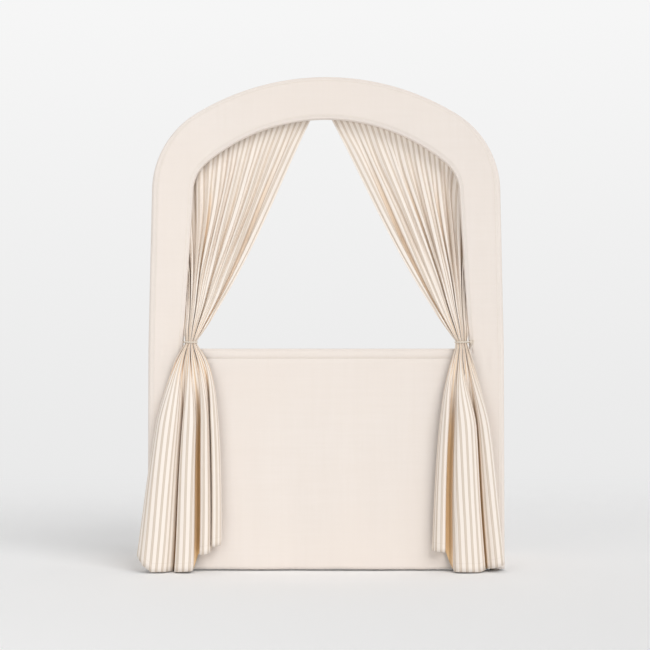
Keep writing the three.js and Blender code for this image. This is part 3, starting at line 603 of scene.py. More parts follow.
def cover_stations():
    """From the right foot, up and round, to the crown: outer point and normal, inner point and normal, and
    how round the outer edge is."""
    stations = []
    for z in LEG_ROWS:
        outer_x = mix(COVER_HALF_AT_COUNTER, COVER_HALF_AT_FLOOR, (COUNTER_Z - z) / (COUNTER_Z - HEM_Z))
        stations.append(((outer_x, z), (1, 0), (OPENING_HALF_AT_COUNTER, z), (-1, 0), LEG_ROUND))
    for i in range(1, LEG_STEPS):
        z = mix(LEG_ROWS[-1], SPRING_Z, i / LEG_STEPS)
        stations.append(((OUTER.leg_x(z), z), (1, 0), (INNER.leg_x(z), z), (-1, 0), LEG_ROUND))
    for on, first, steps, round_at_foot in ((Arch.on_haunch, 0, HAUNCH_STEPS, LEG_ROUND),
                                            (Arch.on_crown, 1, CROWN_STEPS, CROWN_ROUND)):
        for i in range(first, steps + 1):
            share = i / steps
            (outer, normal), (inner, inward) = on(OUTER, share), on(INNER, share)
            rounding = mix(round_at_foot, CROWN_ROUND, smooth(0, 1, share))
            stations.append((outer, normal, inner, -inward, rounding))
    return [[np.asarray(value, dtype=float) for value in station] for station in stations]


STATIONS = cover_stations()


def wrap_profile(rounding):
    """From the front face round to the back: (outward, depth), with a seam groove at the front."""
    quarter = arc((0, 0), rounding, 0, math.pi / 2, WRAP_STEPS + 1)
    front = np.column_stack([quarter[:, 1], rounding - quarter[:, 0] - HALF_DEPTH])
    groove = [(-SEAM_HALF, -HALF_DEPTH), (0, SEAM_DEPTH - HALF_DEPTH)]
    return np.concatenate([groove, front[1:], front[::-1] * (1, -1), [(-SEAM_HALF, HALF_DEPTH)]])


def place(flat, depth):
    """Points [x, z] and depths from the front's mid plane, as points in space."""
    flat = np.asarray(flat, dtype=float)
    return np.stack([flat[..., 0], FRONT_Y + depth * np.ones(flat.shape[:-1]), flat[..., 1]], axis=-1)


def on_front(flat):
    """Points [x, z] on the draped front, at its outer face."""
    return cover_drape(place(flat, -HALF_DEPTH))


def across_at(z, reach, count):
    """Points [x, z] on a level line."""
    return np.column_stack([np.linspace(-reach, reach, count), np.full(count, z)])


def cover_half(skin, side):
    flip = np.array([side, 1])
    front, back, wrap, wrap_uv = [], [], [], []
    front_shares = np.linspace(0, 1, FRONT_STEPS + 1)[:, None]
    for outer, normal, inner, inward, rounding in STATIONS:
        seam = outer - normal * rounding
        edge = inner - inward * EDGE_ROUND
        start, end = seam - normal * SEAM_HALF, edge - inward * SEAM_HALF
        front.append(place(mix(start * flip, end * flip, front_shares), -HALF_DEPTH))
        if outer[1] < COUNTER_Z:
            # Columns on both sides of the slots. Above the counter they keep their shares
            slot = [(start[0] - POST_X + s * SLOT_HALF) / (start[0] - end[0]) for s in (-1, 1)]
            back_shares = np.array([0, slot[0], *np.linspace(slot[1], 1, BACK_STEPS + 1)])[:, None]
        back.append(place(mix(start * flip, end * flip, back_shares), HALF_DEPTH))
        profile = wrap_profile(rounding)
        wrap.append(place((seam + profile[:, :1] * normal) * flip, profile[:, 1]))
        wrap_uv.append((seam + run_of(profile)[:, None] * normal) * flip)
    front, back = np.array(front), np.array(back)
    skin.patch(front, front[..., [0, 2]])
    keep = np.ones((len(back) - 1, back.shape[1] - 1), dtype=bool)
    for row, (below, above) in enumerate(zip(STATIONS, STATIONS[1:])):
        low, high = below[0][1], above[0][1]
        if high < COUNTER_Z and any(abs((low + high) / 2 - z) < CLIP_HALF for z in CLIP_HEIGHTS):
            keep[row, 1] = False
    skin.patch(back, back[..., [0, 2]], keep)
    skin.patch(np.array(wrap), np.array(wrap_uv))


def opening_loop():
    """The outline of the opening, from the right corner of the counter up and round, with inward normals."""
    right = [(inner, inward) for _, _, inner, inward, _ in STATIONS[len(LEG_ROWS) - 1:]]
    # The corner's own normal leans into both edges
    right[0] = (np.array([OPENING_HALF_AT_COUNTER, COUNTER_Z]), np.array([-1.0, 1.0]))
    return right + [(point * (-1, 1), inward * (-1, 1)) for point, inward in right[-2::-1]]


def cover_middle(skin):
    """The front between the stiles, its pockets behind, and the edge that runs round the opening."""
    columns = np.linspace(-1, 1, COUNTER_COLUMNS) * PANEL_HALF
    rows = np.array([z for z in LEG_ROWS if z <= COUNTER_Z - EDGE_ROUND])
    rows[-1] = COUNTER_Z - EDGE_ROUND - SEAM_HALF
    flat = np.stack(np.meshgrid(columns, rows), axis=-1)
    skin.patch(place(flat, -HALF_DEPTH), flat)
    for low, high in ((HEM_Z, FLOOR_POCKET_TOP), (COUNTER_Z - COUNTER_POCKET, COUNTER_Z)):
        pocket = flat[(rows >= low - MM) & (rows <= high + MM)]
        skin.patch(place(pocket, HALF_DEPTH), pocket + [0, 1])
    profile = wrap_profile(EDGE_ROUND)
    run = run_of(profile)
    strip, strip_uv = [], []
    for point, inward in opening_loop():
        edge = point - inward * EDGE_ROUND
        strip.append(place(edge + profile[:, :1] * inward, profile[:, 1]))
        strip_uv.append(edge + run[:, None] * inward)
    skin.patch(np.array(strip), np.array(strip_uv))
    # Each line over the counter's edge narrows to the corner's mitre at its two ends
    columns, narrowing = columns[:, None], (PANEL_HALF - (profile[:, 0] + SEAM_HALF)) / PANEL_HALF
    over = np.broadcast_arrays(columns * narrowing, COUNTER_Z - EDGE_ROUND + profile[:, 0])
    over_uv = np.broadcast_arrays(columns, COUNTER_Z + run)
    skin.patch(place(np.stack(over, axis=-1), profile[:, 1]), np.stack(over_uv, axis=-1))


def cover_drape(points):
    """Soft waves in the front, a round pocket on the counter rail, and a hem that isn't quite straight."""
    x, y, z = points.T
    beside = np.abs(x)
    front = y < FRONT_Y - HALF_DEPTH + 2 * MM
    low = z < POCKET_SEAM_Z
    inside = 1 - 0.75 * smooth(0.25, 0.31, beside) - 0.25 * smooth(0.40, 0.44, beside)
    fall = smooth(0, 0.30, POCKET_SEAM_Z - z)
    wave = 0.5 * np.sin(x * 23 + 0.8 * np.sin(z * 5) + 0.4) + waves(x, z, FRONT_WAVES)
    y = np.where(front & low, y - (2.2 * MM + 3.0 * MM * wave) * fall * inside, y)
    round_rail = 1.4 * MM * np.sin(math.pi * np.clip((COUNTER_Z - z) / HEM_BAND, 0, 1))
    y = np.where(front & ~low & (beside < PANEL_HALF), y - round_rail, y)
    groove = (np.abs(z - POCKET_SEAM_Z) < 0.3 * MM) & (beside < OPENING_HALF_AT_COUNTER)
    y = np.where(front & groove, y + SEAM_DEPTH, y)
    y = np.where(front, y - waves(x, z, RIPPLES) * smooth(POCKET_SEAM_Z, COUNTER_Z + 80 * MM, z), y)
    for foot, head, depth in CREASES:
        along = np.subtract(head, foot)
        here = np.column_stack([beside, z]) - foot
        t = np.clip(here @ along / (along @ along), 0, 1)
        away = np.linalg.norm(here - t[:, None] * along, axis=1)
        dent = np.exp(-((away / (5 * MM)) ** 2)) - 0.6 * np.exp(-(((away - 9 * MM) / (6 * MM)) ** 2))
        fade = np.sin(math.pi * np.clip(t, 0.05, 0.95)) ** 0.5 * (beside > 0.38)
        y = np.where(front, y + depth * dent * fade, y)
    lift = (1 - z / FLOOR_POCKET_TOP) * (1 + waves(x, z, HEM_WAVES)) * HEM_LIFT
    return np.stack([x, y, np.where(z < FLOOR_POCKET_TOP, z + np.abs(lift), z)], axis=-1)


def make_cover():
    skin = Skin()
    for side in (1, -1):
        cover_half(skin, side)
    cover_middle(skin)
    cover = skin.build("slip_cover", "front", "canvas", ["stage_cover"], outward=(0, -1, 0), weld=SEAM_WELD,
                       shape=cover_drape)
    thicken(cover, CANVAS)


def cover_stitches():
    """Topstitching: round the opening, beside the outer seam, and along the pockets, front and back."""
    skin = Skin()
    forward, backward = (0, -1, 0), (0, 1, 0)
    for side, _ in SIDES:
        beside_opening = [(inner - inward * STITCHES_FROM_OPENING) * (side, 1)
                          for _, _, inner, inward, _ in STATIONS if inner[1] >= COUNTER_Z - EDGE_ROUND]
        beside_seam = [(outer - normal * (rounding + STITCHES_FROM_SEAM)) * (side, 1)
                       for outer, normal, _, _, rounding in STATIONS]
        stitches_on(skin, on_front(beside_opening), forward)
        stitches_on(skin, on_front(beside_seam), forward)
        for clip_z in CLIP_HEIGHTS:
            # A buttonhole edge round each slot at the back
            half_x, half_z = SLOT_HALF + BUTTONHOLE_MARGIN, CLIP_HALF + BUTTONHOLE_MARGIN
            loop = [(side * (POST_X + u * half_x), clip_z + v * half_z)
                    for u, v in ((-1, -1), (1, -1), (1, 1), (-1, 1), (-1, -1))]
            tube_on(skin, place(rounded(loop, 1.5 * MM, 60), HALF_DEPTH + 0.2 * MM), BINDING_RADIUS)
    reach = OPENING_HALF_AT_COUNTER + 3 * MM
    stitches_on(skin, on_front(across_at(POCKET_SEAM_Z + 3 * MM, reach, 200)), forward)
    for z in (COUNTER_Z - COUNTER_POCKET + 4 * MM, FLOOR_POCKET_TOP - 4 * MM, HEM_Z + 6 * MM):
        stitches_on(skin, place(across_at(z, reach, 90), HALF_DEPTH), backward)
    skin.build("cover_stitching", "front", "canvas", look=THREAD_LOOK)


# The curtains


class Curtain:
    """One curtain: rows of points from the header down to the tie, and on down to the hem.

    Folds are kept as marks across the cloth, so that a thread stays in its own fold from top to bottom.
    """

    columns = 380
    upper_rows = 66
    tail_rows = 62
    samples = 2400
    section_samples = 1400
    gather_count = 22
    depth_trials = 9
    # Ranges of the random draws: the folds' depths, how much painted light they get (the warm glow of light
    # through the cloth, painted into the colour), and the widths of the gathers
    depth_range, strong_glow, weak_glow, gather_range = (0.55, 1.1), (0.4, 0.65), (0.1, 0.4), (0.6, 1.4)
    # The deepest fold at the header and below it, and how much less it is at the tie
    header_depth, full_depth, tie_loss = 8 * MM, 25 * MM, 3 * MM
    sag, forward = 18 * MM, 26 * MM

    def __init__(self, side, seed, gap, fold_widths, face_ends, section, hem, fan, drift):
        self.side, self.fan, self.drift, self.face_ends = side, fan, drift, face_ends
        header = opening_arch(HEADER_OUTSET)
        reach = header.length(HEADER_END_Z)
        picks = np.random.default_rng(seed)
        self.dense = np.linspace(0, 1, self.samples)
        self.head_points = np.array([header.at(mix(gap, reach, g)) for g in self.dense])
        widths = np.array(fold_widths) / sum(fold_widths)
        self.marks = np.concatenate([[0], np.cumsum(widths)])
        self.row_marks = [*np.searchsorted(self.dense, self.marks[:-1]), self.samples - 1]
        count = len(widths)
        self.folds = np.interp(self.dense, self.marks, np.arange(count + 1))
        self.fold_width = np.interp(self.dense, (self.marks[1:] + self.marks[:-1]) / 2, widths)
        depths = picks.uniform(*self.depth_range, count + 1)
        depths[-3:] *= 0.6
        self.fold_depth = self.by_fold(depths)
        # Only some folds last to the tie
        lasting = np.full(count + 1, 0.06)
        lasting[[*range(4, count - 2, 3), count - 1]] = 1.0
        lasting[1] = 0.7
        self.lasting = self.by_fold(lasting)
        # Painted light: how strongly each fold is painted with the warm glow of light through the cloth. It is
        # stronger in the folds that last to the tie, and full in the two folds beside the stile, which lie in
        # its shade.
        strong, weak = (picks.uniform(*glow, count + 1) for glow in (self.strong_glow, self.weak_glow))
        painted_glow_strength = np.where(lasting > 0.5, strong, weak)
        painted_glow_strength[-2:] = 0.9
        self.painted_glow_strength = self.by_fold(painted_glow_strength)
        self.leans = picks.uniform(-1, 1, (count + 1, 3))
        gathers = np.cumsum([0, *picks.uniform(*self.gather_range, self.gather_count)])
        self.gathers = np.interp(self.dense, gathers / gathers[-1], np.arange(self.gather_count + 1))
        self.half_at_hem, self.centre_at_hem = fan[0], TIE_X + drift[0]
        corners = np.array(sum(section, [])) * MM
        self.section = rounded(corners, 2.6 * MM, self.section_samples)
        run, corner_run = run_of(self.section), run_of(corners)
        face_lasts = np.cumsum([len(face) for face in section])[:-1] - 1
        bounds = corner_run[face_lasts] / corner_run[-1] * run[-1]
        self.section_marks = [0, *np.searchsorted(run, bounds), len(run) - 1]
        self.hem_knots = np.array(hem) * MM

    def by_fold(self, values):
        """Values at the folds' edges, as values along a row."""
        return np.interp(self.folds, np.arange(len(values)), values)

    def lay(self, curve, marks, shares):
        """The columns along a row. Each fold keeps its share of the cloth, and the flanks take what the
        fronts can't hold."""
        step = np.diff(curve[:, :3], axis=0)
        length = np.linalg.norm(step, axis=1) + NO_LENGTH
        flank = (step[:, 1] / length) ** 2
        measure = np.zeros(len(curve))
        for start, end, low, high in zip(marks, marks[1:], shares, shares[1:]):
            steps, flanks = length[start:end], length[start:end] * flank[start:end]
            spare = (high - low) * CLOTH_WIDTH - steps.sum()
            extra = np.clip(spare / max(flanks.sum(), 0.01 * MM), 0, 5)
            weight = steps + extra * flanks
            measure[start + 1:end + 1] = mix(low, high, np.cumsum(weight) / weight.sum())
        return sample(curve, measure, np.linspace(0, 1, self.columns + 1))

    def wander(self, share):
        """How far each fold's line drifts sideways on its way down, as a share of its width."""
        sways = (math.sin(3.1 * share + 0.5), math.sin(6.3 * share), 0.5 * math.sin(11 * share))
        drift = self.leans @ sways
        drift[0] = drift[-1] = 0
        return self.by_fold(drift)

    def upper_row(self, share):
        g = self.dense
        gather = smooth(0.80, 1, share)
        free = 1 - gather
        shirring = 1 - smooth(0.0, 0.22, share)
        valley = np.abs(np.cos(math.pi * self.folds)) ** mix(2.6, 2.0, gather)
        # Painted light: the warm glow of light through the cloth, painted into the valleys, none at the header
        # and more towards the tie
        painted_glow = valley * mix(self.painted_glow_strength, 0.8, gather) * smooth(0.05, 0.4, share)
        valley = valley * mix(1, self.lasting, smooth(0.3, 0.85, share))
        # The first fold is flatter towards the free edge
        valley = valley * mix(0.35, 1, smooth(0, 0.5 * self.marks[1], g))
        overhang = 1.25 * smooth(0.05, 0.45, share) * np.sin(4 * math.pi * self.folds) / (4 * math.pi)
        wandering = 0.22 * self.wander(share) * smooth(0, 0.3, share)
        shift = self.fold_width * (overhang + wandering) * free
        moved = np.clip(g + shift * np.sin(math.pi * g) ** 0.2, 0, 1)
        head_x, head_z = sample(self.head_points, g, moved).T
        # The free edge sags most at two thirds of the way, where share**2 * (1 - share) is 4 / 27
        sag = self.sag * (1 - moved) * 27 / 4 * share**2 * (1 - share)
        pull = mix(share, smooth(0, 0.80, share), moved)
        beside_stile = INNER.leg_x(mix(HEADER_END_Z, TIE_Z, share)) - 1.5 * MM
        outer = mix(beside_stile, TIE_X + BUNDLE_RADIUS, smooth(0.90, 1, share))
        x = mix(head_x, mix(TIE_X - BUNDLE_RADIUS, outer, moved), pull) - sag
        z = mix(head_z, TIE_Z + NECK_HALF, share)
        bundle = BUNDLE_RADIUS * np.sqrt(np.clip(1 - (2 * moved - 1) ** 2, 0, 1)) * 0.97
        tied = -TIE_FORWARD - bundle * (1 - 1.2 * valley)
        fine = np.sin(math.pi * self.gathers) ** 2
        wave = valley * self.fold_depth
        wave = mix(wave, 0.35 * wave + 0.65 * fine, shirring)
        # The cloth leaves the tape behind the crown and comes forward, beside the stile, towards the tie
        forward = self.forward * smooth(0.3, 0.85, share)

        def draw(depth):
            hang = TAPE_BACK + 2 * MM + depth * wave - forward
            return np.stack([x * self.side, FRONT_Y + mix(hang, tied, gather), z, painted_glow], axis=-1)

        # The folds are as deep as the cloth's width allows
        low = 0.0
        high = mix(self.header_depth, self.full_depth, smooth(0, 0.35, share))
        high -= self.tie_loss * smooth(0.5, 0.85, share)
        for _ in range(self.depth_trials):
            trial = (low + high) / 2
            if run_of(draw(trial)[:, :3])[-1] < CLOTH_WIDTH:
                low = trial
            else:
                high = trial
        return self.lay(draw(low), self.row_marks, self.marks)

    def tail_row(self, share, bundle):
        spread, power, narrow = self.fan
        half = mix(BUNDLE_RADIUS, spread, share**power * (1 - math.exp(-share / narrow)))
        centre = TIE_X + self.drift[0] * share ** self.drift[1]
        scale = half / self.half_at_hem
        # The loose cloth: the faces seen at the hem, narrowed towards the tie
        section_x, depth = self.section.T
        swing = 0.035 * math.sin(5.5 * share + self.side) * np.sin(math.pi * np.linspace(0, 1, len(depth)))
        x = centre + (section_x - self.centre_at_hem) * scale + swing * half
        depth = depth * mix(0.88, 1, smooth(0, 0.6, share))
        outwards = np.gradient(section_x) / (np.gradient(run_of(self.section)) + NO_LENGTH)
        # Painted light: the warm glow of light through the cloth, painted into the narrow gaps between the
        # tail's faces where the section runs outwards, and less near the tie
        lit = mix(0.35, 1, smooth(0.08, 0.55, share))
        painted_glow = (1 - smooth(6 * MM, 34 * MM, depth)) * smooth(-0.2, 0.3, outwards) * lit
        curve = np.stack([x, -depth, np.zeros_like(x), painted_glow], axis=-1)
        loose = self.lay(curve, self.section_marks, self.face_ends)
        knots_x = centre + (self.hem_knots[:, 0] - self.centre_at_hem) * scale
        hem = np.interp(loose[:, 0], knots_x, self.hem_knots[:, 1])
        # The tied cloth: the bundle, which steps forward over the cover's front
        tight_x = centre + (bundle[:, 0] * self.side - TIE_X) / BUNDLE_RADIUS * half
        tight_y = (bundle[:, 1] - FRONT_Y + TIE_FORWARD) * (1 - 0.35 * smooth(0, 0.12, share))
        clear = HALF_DEPTH + 2.5 * MM
        tied = tight_y - mix(TIE_FORWARD, clear + BUNDLE_RADIUS, smooth(0, 0.024, share))
        opening = smooth(0.02, 0.38, share)
        x = mix(tight_x, loose[:, 0], opening)
        y = mix(tied, loose[:, 1] - clear, opening)
        z = mix(TIE_Z - NECK_HALF, hem, share)
        return np.stack([x * self.side, FRONT_Y + y, z, mix(bundle[:, 3], loose[:, 3], opening)], axis=-1)

    def build(self, hand):
        steps = np.arange(self.upper_rows + 1) / self.upper_rows
        rows = [self.upper_row(math.sin(step * math.pi / 2) ** 1.15) for step in steps]
        bundle = rows[-1]
        rows += [self.tail_row((i / self.tail_rows) ** 1.6, bundle) for i in range(self.tail_rows + 1)]
        # The fourth value of each point is its painted light, which goes into the fold layer
        rows, folds = np.array(rows)[..., :3], np.array(rows)[..., 3]
        drop = np.linalg.norm(np.diff(rows, axis=0), axis=2)
        from_hem = np.concatenate([np.cumsum(drop[::-1], axis=0)[::-1], np.zeros((1, rows.shape[1]))])
        across = np.broadcast_to(np.linspace(0, CLOTH_WIDTH, rows.shape[1]), from_hem.shape)
        skin = Skin()
        skin.patch(rows, np.stack([across, from_hem], axis=-1), folds=folds)
        piece = skin.build("curtain_cloth_" + hand, "front", "curtain_ticking", ["curtain_" + hand])
        thicken(piece, CLOTH_THICKNESS, 0)


# A tail's faces from its free edge outwards, at the hem: how far from the middle of the stand, and how far
# in front of the cover, in millimetres. Each face ends in the valley behind it.
LEFT_TAIL = [
    [(268, 24), (276, 40), (288, 45), (294, 36), (293, 16), (280, 11), (279, 6), (290, 4), (295, 12),
     (297, 24)],
    [(299, 32), (305, 44), (315, 48), (325, 41), (327, 22), (310, 15), (309, 8), (328, 7), (336, 9)],
    [(344, 16), (342, 38), (349, 49), (372, 50), (385, 46), (391, 36), (390, 18), (380, 12), (379, 6),
     (390, 4), (395, 12), (397, 24)],
    [(401, 28), (410, 38), (420, 46), (432, 48), (448, 49), (469, 44), (482, 30), (486, 14), (472, 6),
     (448, 5)],
]
LEFT_HEM = [(266, 70), (292, 67), (297, 50), (328, 45), (340, 6), (392, 3), (446, 4), (468, 20), (488, 48)]
RIGHT_TAIL = [
    [(271, 20), (279, 38), (292, 45), (303, 38), (305, 20), (285, 14), (284, 8), (302, 11), (315, 12)],
    [(325, 16), (325, 38), (336, 49), (360, 50), (382, 47), (396, 39), (405, 28), (408, 14), (350, 11),
     (349, 5), (404, 4), (411, 12), (414, 22)],
    [(418, 27), (428, 36), (442, 38), (453, 30), (457, 16), (427, 18), (426, 13), (455, 11), (454, 6),
     (416, 4)],
]
RIGHT_HEM = [(269, 56), (306, 52), (317, 22), (326, 4), (392, 3), (412, 8), (432, 13), (456, 20)]


def make_curtains():
    """A fan is half the width at the hem, a power and how soon it widens, and a drift is a way and a power."""
    Curtain(-1, 5, LEFT_HEADER_GAP, [9, 7, 6, 8, 7, 5, 8, 6, 7, 9, 6, 7, 6, 9], [0, 0.215, 0.425, 0.705, 1],
            LEFT_TAIL, LEFT_HEM, (103 * MM, 0.38, 0.055), (25 * MM, 1.6)).build("left")
    Curtain(1, 11, RIGHT_HEADER_GAP, [9, 6, 8, 6, 7, 8, 5, 7, 6, 9, 7, 5, 8, 9], [0, 0.24, 0.71, 1],
            RIGHT_TAIL, RIGHT_HEM, (92 * MM, 0.42, 0.12), (15 * MM, 0.8)).build("right")


def make_header_tapes():
    """The woven tape behind the crown that each curtain is gathered on."""
    inner, outer = opening_arch(TAPE_INNER_OUTSET), opening_arch(HEADER_OUTSET)
    inner_end, outer_end = inner.length(HEADER_END_Z), outer.length(HEADER_END_Z)
    depths = TAPE_BACK - TAPE_HALF + TAPE_HALF * np.array([-1, 1, 1, -1, -1])
    for (side, hand), gap in zip(SIDES, (LEFT_HEADER_GAP, RIGHT_HEADER_GAP)):
        rows = []
        for share in np.linspace(0, 1, 91):
            low, high = inner.at(mix(gap, inner_end, share)), outer.at(mix(gap, outer_end, share))
            rows.append(place(np.array([low, low, high, high, low]) * (side, 1), depths))
        rows = np.array(rows)
        skin = Skin()
        girth = np.array([0, 2, 26, 28, 52]) * MM
        skin.patch(rows, np.stack(np.meshgrid(girth, np.linspace(0, outer_end, len(rows))), axis=-1))
        for end in (0, -1):
            skin.patch(rows[end][[[0, 1], [3, 2]]], np.array([[(0, 0), (2, 0)], [(0, 24), (2, 24)]]) * MM)
        skin.build("header_tape_band_" + hand, "front", "header_tape", ["header_tape_" + hand])


def winding(anchor, centre, radius, turns):
    """A cord's path from its anchor, round a circle and back to the anchor, seen from above."""
    reach = np.subtract(anchor, centre)
    towards = math.atan2(reach[1], reach[0])
    spread = math.acos(radius / math.hypot(*reach))
    ring = arc(centre, radius, towards - spread, towards + spread - 2 * math.pi * turns, 40 * turns)
    path = np.array([anchor, *ring, anchor])
    return np.column_stack([path, TIE_Z + np.linspace(CORD_RADIUS, -CORD_RADIUS, len(path)) * 1.1])


def loop_from(knot, reach, width, lean):
    """A small teardrop loop in front of the cover."""
    t = np.linspace(0, 1, 28)
    out, across = reach * np.sin(math.pi * t), width * np.sin(2 * math.pi * t)
    x = knot[0] + out * math.cos(lean) - across * math.sin(lean)
    z = knot[2] + out * math.sin(lean) + across * math.cos(lean)
    return np.column_stack([x, knot[1] - 1.2 * MM * np.sin(math.pi * t), z])


def knot_on(skin, at, size):
    """An overhand knot drawn tight."""
    t = np.linspace(0, 2 * math.pi, 50)[:-1]
    trefoil = [np.sin(t) + 2 * np.sin(2 * t), -np.sin(3 * t), np.cos(t) - 2 * np.cos(2 * t)]
    rope_on(skin, np.array(at) + size * np.column_stack(trefoil) / 3, CORD_RADIUS, closed=True)


def make_tie_backs():
    """A twisted cord, twice round each gathered curtain and sewn to the edge of the opening."""
    ring_radius = BUNDLE_RADIUS + CORD_RADIUS + 0.5 * MM
    edge_x, edge_y = INNER.leg_x(TIE_Z), FRONT_Y - HALF_DEPTH
    centre = (TIE_X, FRONT_Y - TIE_FORWARD)
    anchors = {"left": (edge_x - 1.2 * MM, edge_y + 3.6 * MM), "right": (edge_x + 3 * MM, edge_y - 2.4 * MM)}
    for side, hand in SIDES:
        skin = Skin()
        knot = (*anchors[hand], TIE_Z)
        if hand == "right":
            for reach, width, lean in ((9 * MM, 2.6 * MM, 0.5), (8 * MM, 2.4 * MM, -0.65)):
                rope_on(skin, loop_from(knot, reach, width, lean), CORD_RADIUS * 0.85)
            drop = np.array([(0, 0, 0), (1.5, -0.6, -5), (1.0, -0.2, -12)]) * MM + knot
            rope_on(skin, rounded(drop, 1.5 * MM, 24), CORD_RADIUS * 0.85)
        rope_on(skin, winding(anchors[hand], centre, ring_radius, 2), CORD_RADIUS)
        knot_on(skin, knot, 2.0 * MM)
        skin.build("tie_cord_" + hand, "front", "tie_cord", ["tie_back_" + hand],
                   shape=lambda points: points * (side, 1, 1))


# The wings


def wing_outline():
    """Points (y, z) from the hinge side's hem up, over and down to the rear side's hem."""
    low_y, high_y = WING_EDGES
    corner = (low_y + WING_CORNER, WING_TOP_Z - WING_CORNER)
    rising = [(low_y, z) for z in rows_through([WING_HEM_Z, *NOTCH_EDGES, WING_TOP_Z - WING_CORNER])]
    level = [(mix(corner[0], WING_MIDDLE, i / 14), WING_TOP_Z) for i in range(1, 15)]
    half = np.concatenate([rising, arc(corner, WING_CORNER, math.pi, math.pi / 2, 9)[1:], level])
    return np.concatenate([half, half[-2::-1] * (-1, 1) + (low_y + high_y, 0)])


def wing_inset(y, z):
    """How far inside the wing's outline a point is."""
    half = (WING_EDGES[1] - WING_EDGES[0]) / 2
    over_y = np.abs(y - WING_MIDDLE) - (half - WING_CORNER)
    over_z = z - (WING_TOP_Z - WING_CORNER)
    beyond = np.hypot(np.maximum(over_y, 0), np.maximum(over_z, 0)) + np.minimum(np.maximum(over_y, over_z), 0)
    return np.maximum(WING_CORNER - beyond, 0)


def wing_swell(y, z, face):
    """Half the sleeve's depth: round on the tubes, and slack between them."""
    inset = wing_inset(y, z)
    round_share = np.clip(inset / WING_HALF_DEPTH, 0, 1)
    swell = WING_HALF_DEPTH * np.sqrt(np.maximum(1 - (1 - round_share) ** 2, 0))
    slack = smooth(14 * MM, 75 * MM, inset) * smooth(0.05, 0.13, z)
    wave = waves(y, z, ((0.6, 29, 7, face), (0.35, 53, -11, 2 * face)))
    pull = np.sin((y - WING_MIDDLE) * 40 * face + (z - 0.3) * 34) * smooth(0.30, 0.5, z)
    return swell - slack * (3.4 * MM + 1.1 * MM * wave) - 0.35 * MM * pull * smooth(12 * MM, 40 * MM, inset)


def wing_point(side, face, y, z, lift=0.0):
    return np.stack([side * POST_X + face * (wing_swell(y, z, face) + lift), y, z], axis=-1)


def make_wing_canvas(side, hand, outline):
    roundness = WING_HALF_DEPTH * (1 - np.cos(np.linspace(0, math.pi / 2, 8)))
    distances = np.array([*roundness, 16 * MM, WING_HALF_DEPTH + NOTCH_REACH, 30 * MM, 38 * MM])[:, None]
    spine = np.column_stack([np.full(len(outline), WING_MIDDLE), np.minimum(outline[:, 1], FAN_Z)])
    heading = (spine - outline) / np.linalg.norm(spine - outline, axis=1)[:, None]
    near = outline[:, None] + distances * heading[:, None]
    far = mix(near[:, -1:], spine[:, None], np.linspace(0, 1, 15)[1:, None])
    flat = np.concatenate([near, far], axis=1)
    y, z = flat[..., 0], flat[..., 1]
    cells = (flat[:-1, :-1] + flat[1:, 1:]) / 2
    keep = np.ones(cells.shape[:2], dtype=bool)
    for clip_z in CLIP_HEIGHTS:
        keep &= (cells[..., 0] >= HINGE_Y + NOTCH_REACH) | (np.abs(cells[..., 1] - clip_z) >= NOTCH_HALF)
    hem_rise = (1 + np.sin(y * 37 + side)) * 0.7 * MM * (1 - smooth(WING_HEM_Z, WING_HEM_Z + 0.05, z))
    skin = Skin()
    for face in (-1, 1):
        points = wing_point(side, face, y, z)
        points[..., 2] += hem_rise
        skin.patch(points, flat, keep)
    piece = skin.build("wing_sleeve_" + hand, "wing_" + hand, "canvas", ["wing_canvas_" + hand],
                       outward=(side, 0, 0), weld=SEAM_WELD)
    thicken(piece, CANVAS)


def make_wing_trim(side, hand, outline):
    """The corded seam round the sleeve, the bound notches, and the stitching."""
    skin = Skin()
    rising = outline[:len(outline) // 2, 1]
    breaks = [0, *[int(np.argmin(np.abs(rising - z))) for z in NOTCH_EDGES], len(outline) - 1]
    for start, end in zip(breaks[::2], breaks[1::2]):
        seam = outline[start:end + 1]
        tube_on(skin, np.column_stack([np.full(len(seam), side * POST_X), seam]), PIPING_RADIUS)
    inner_y = HINGE_Y + NOTCH_REACH
    across = np.linspace(WING_EDGES[0], inner_y, 16)
    loop_y = np.array([*across, *[inner_y] * 6, *across[:0:-1]])
    loop_z = np.array([*[-1] * 16, *np.linspace(-1, 1, 8)[1:-1], *[1] * 15]) * NOTCH_HALF
    for clip_z in CLIP_HEIGHTS:
        faces = [wing_point(side, face, loop_y, clip_z + face * loop_z, -0.3 * MM) for face in (1, -1)]
        tube_on(skin, np.concatenate(faces), BINDING_RADIUS, closed=True)
    skin.build("wing_piping_" + hand, "wing_" + hand, "canvas")
    skin = Skin()
    low_y, high_y = WING_EDGES[0] + 25 * MM, WING_EDGES[1] - 25 * MM
    foot, top = WING_HEM_Z + 2 * MM, WING_TOP_Z - 25 * MM
    inside = rounded([(low_y, foot), (low_y, top), (high_y, top), (high_y, foot)], 12 * MM, 300)
    hem = np.linspace(WING_EDGES[0] + 6 * MM, WING_EDGES[1] - 6 * MM, 60)
    for face in (-1, 1):
        for y, z in (inside.T, (hem, np.full_like(hem, WING_HEM_Z + 18 * MM))):
            stitches_on(skin, wing_point(side, face, y, z), (face, 0, 0))
    skin.build("wing_stitching_" + hand, "wing_" + hand, "canvas", look=THREAD_LOOK)


# Hardware that shows


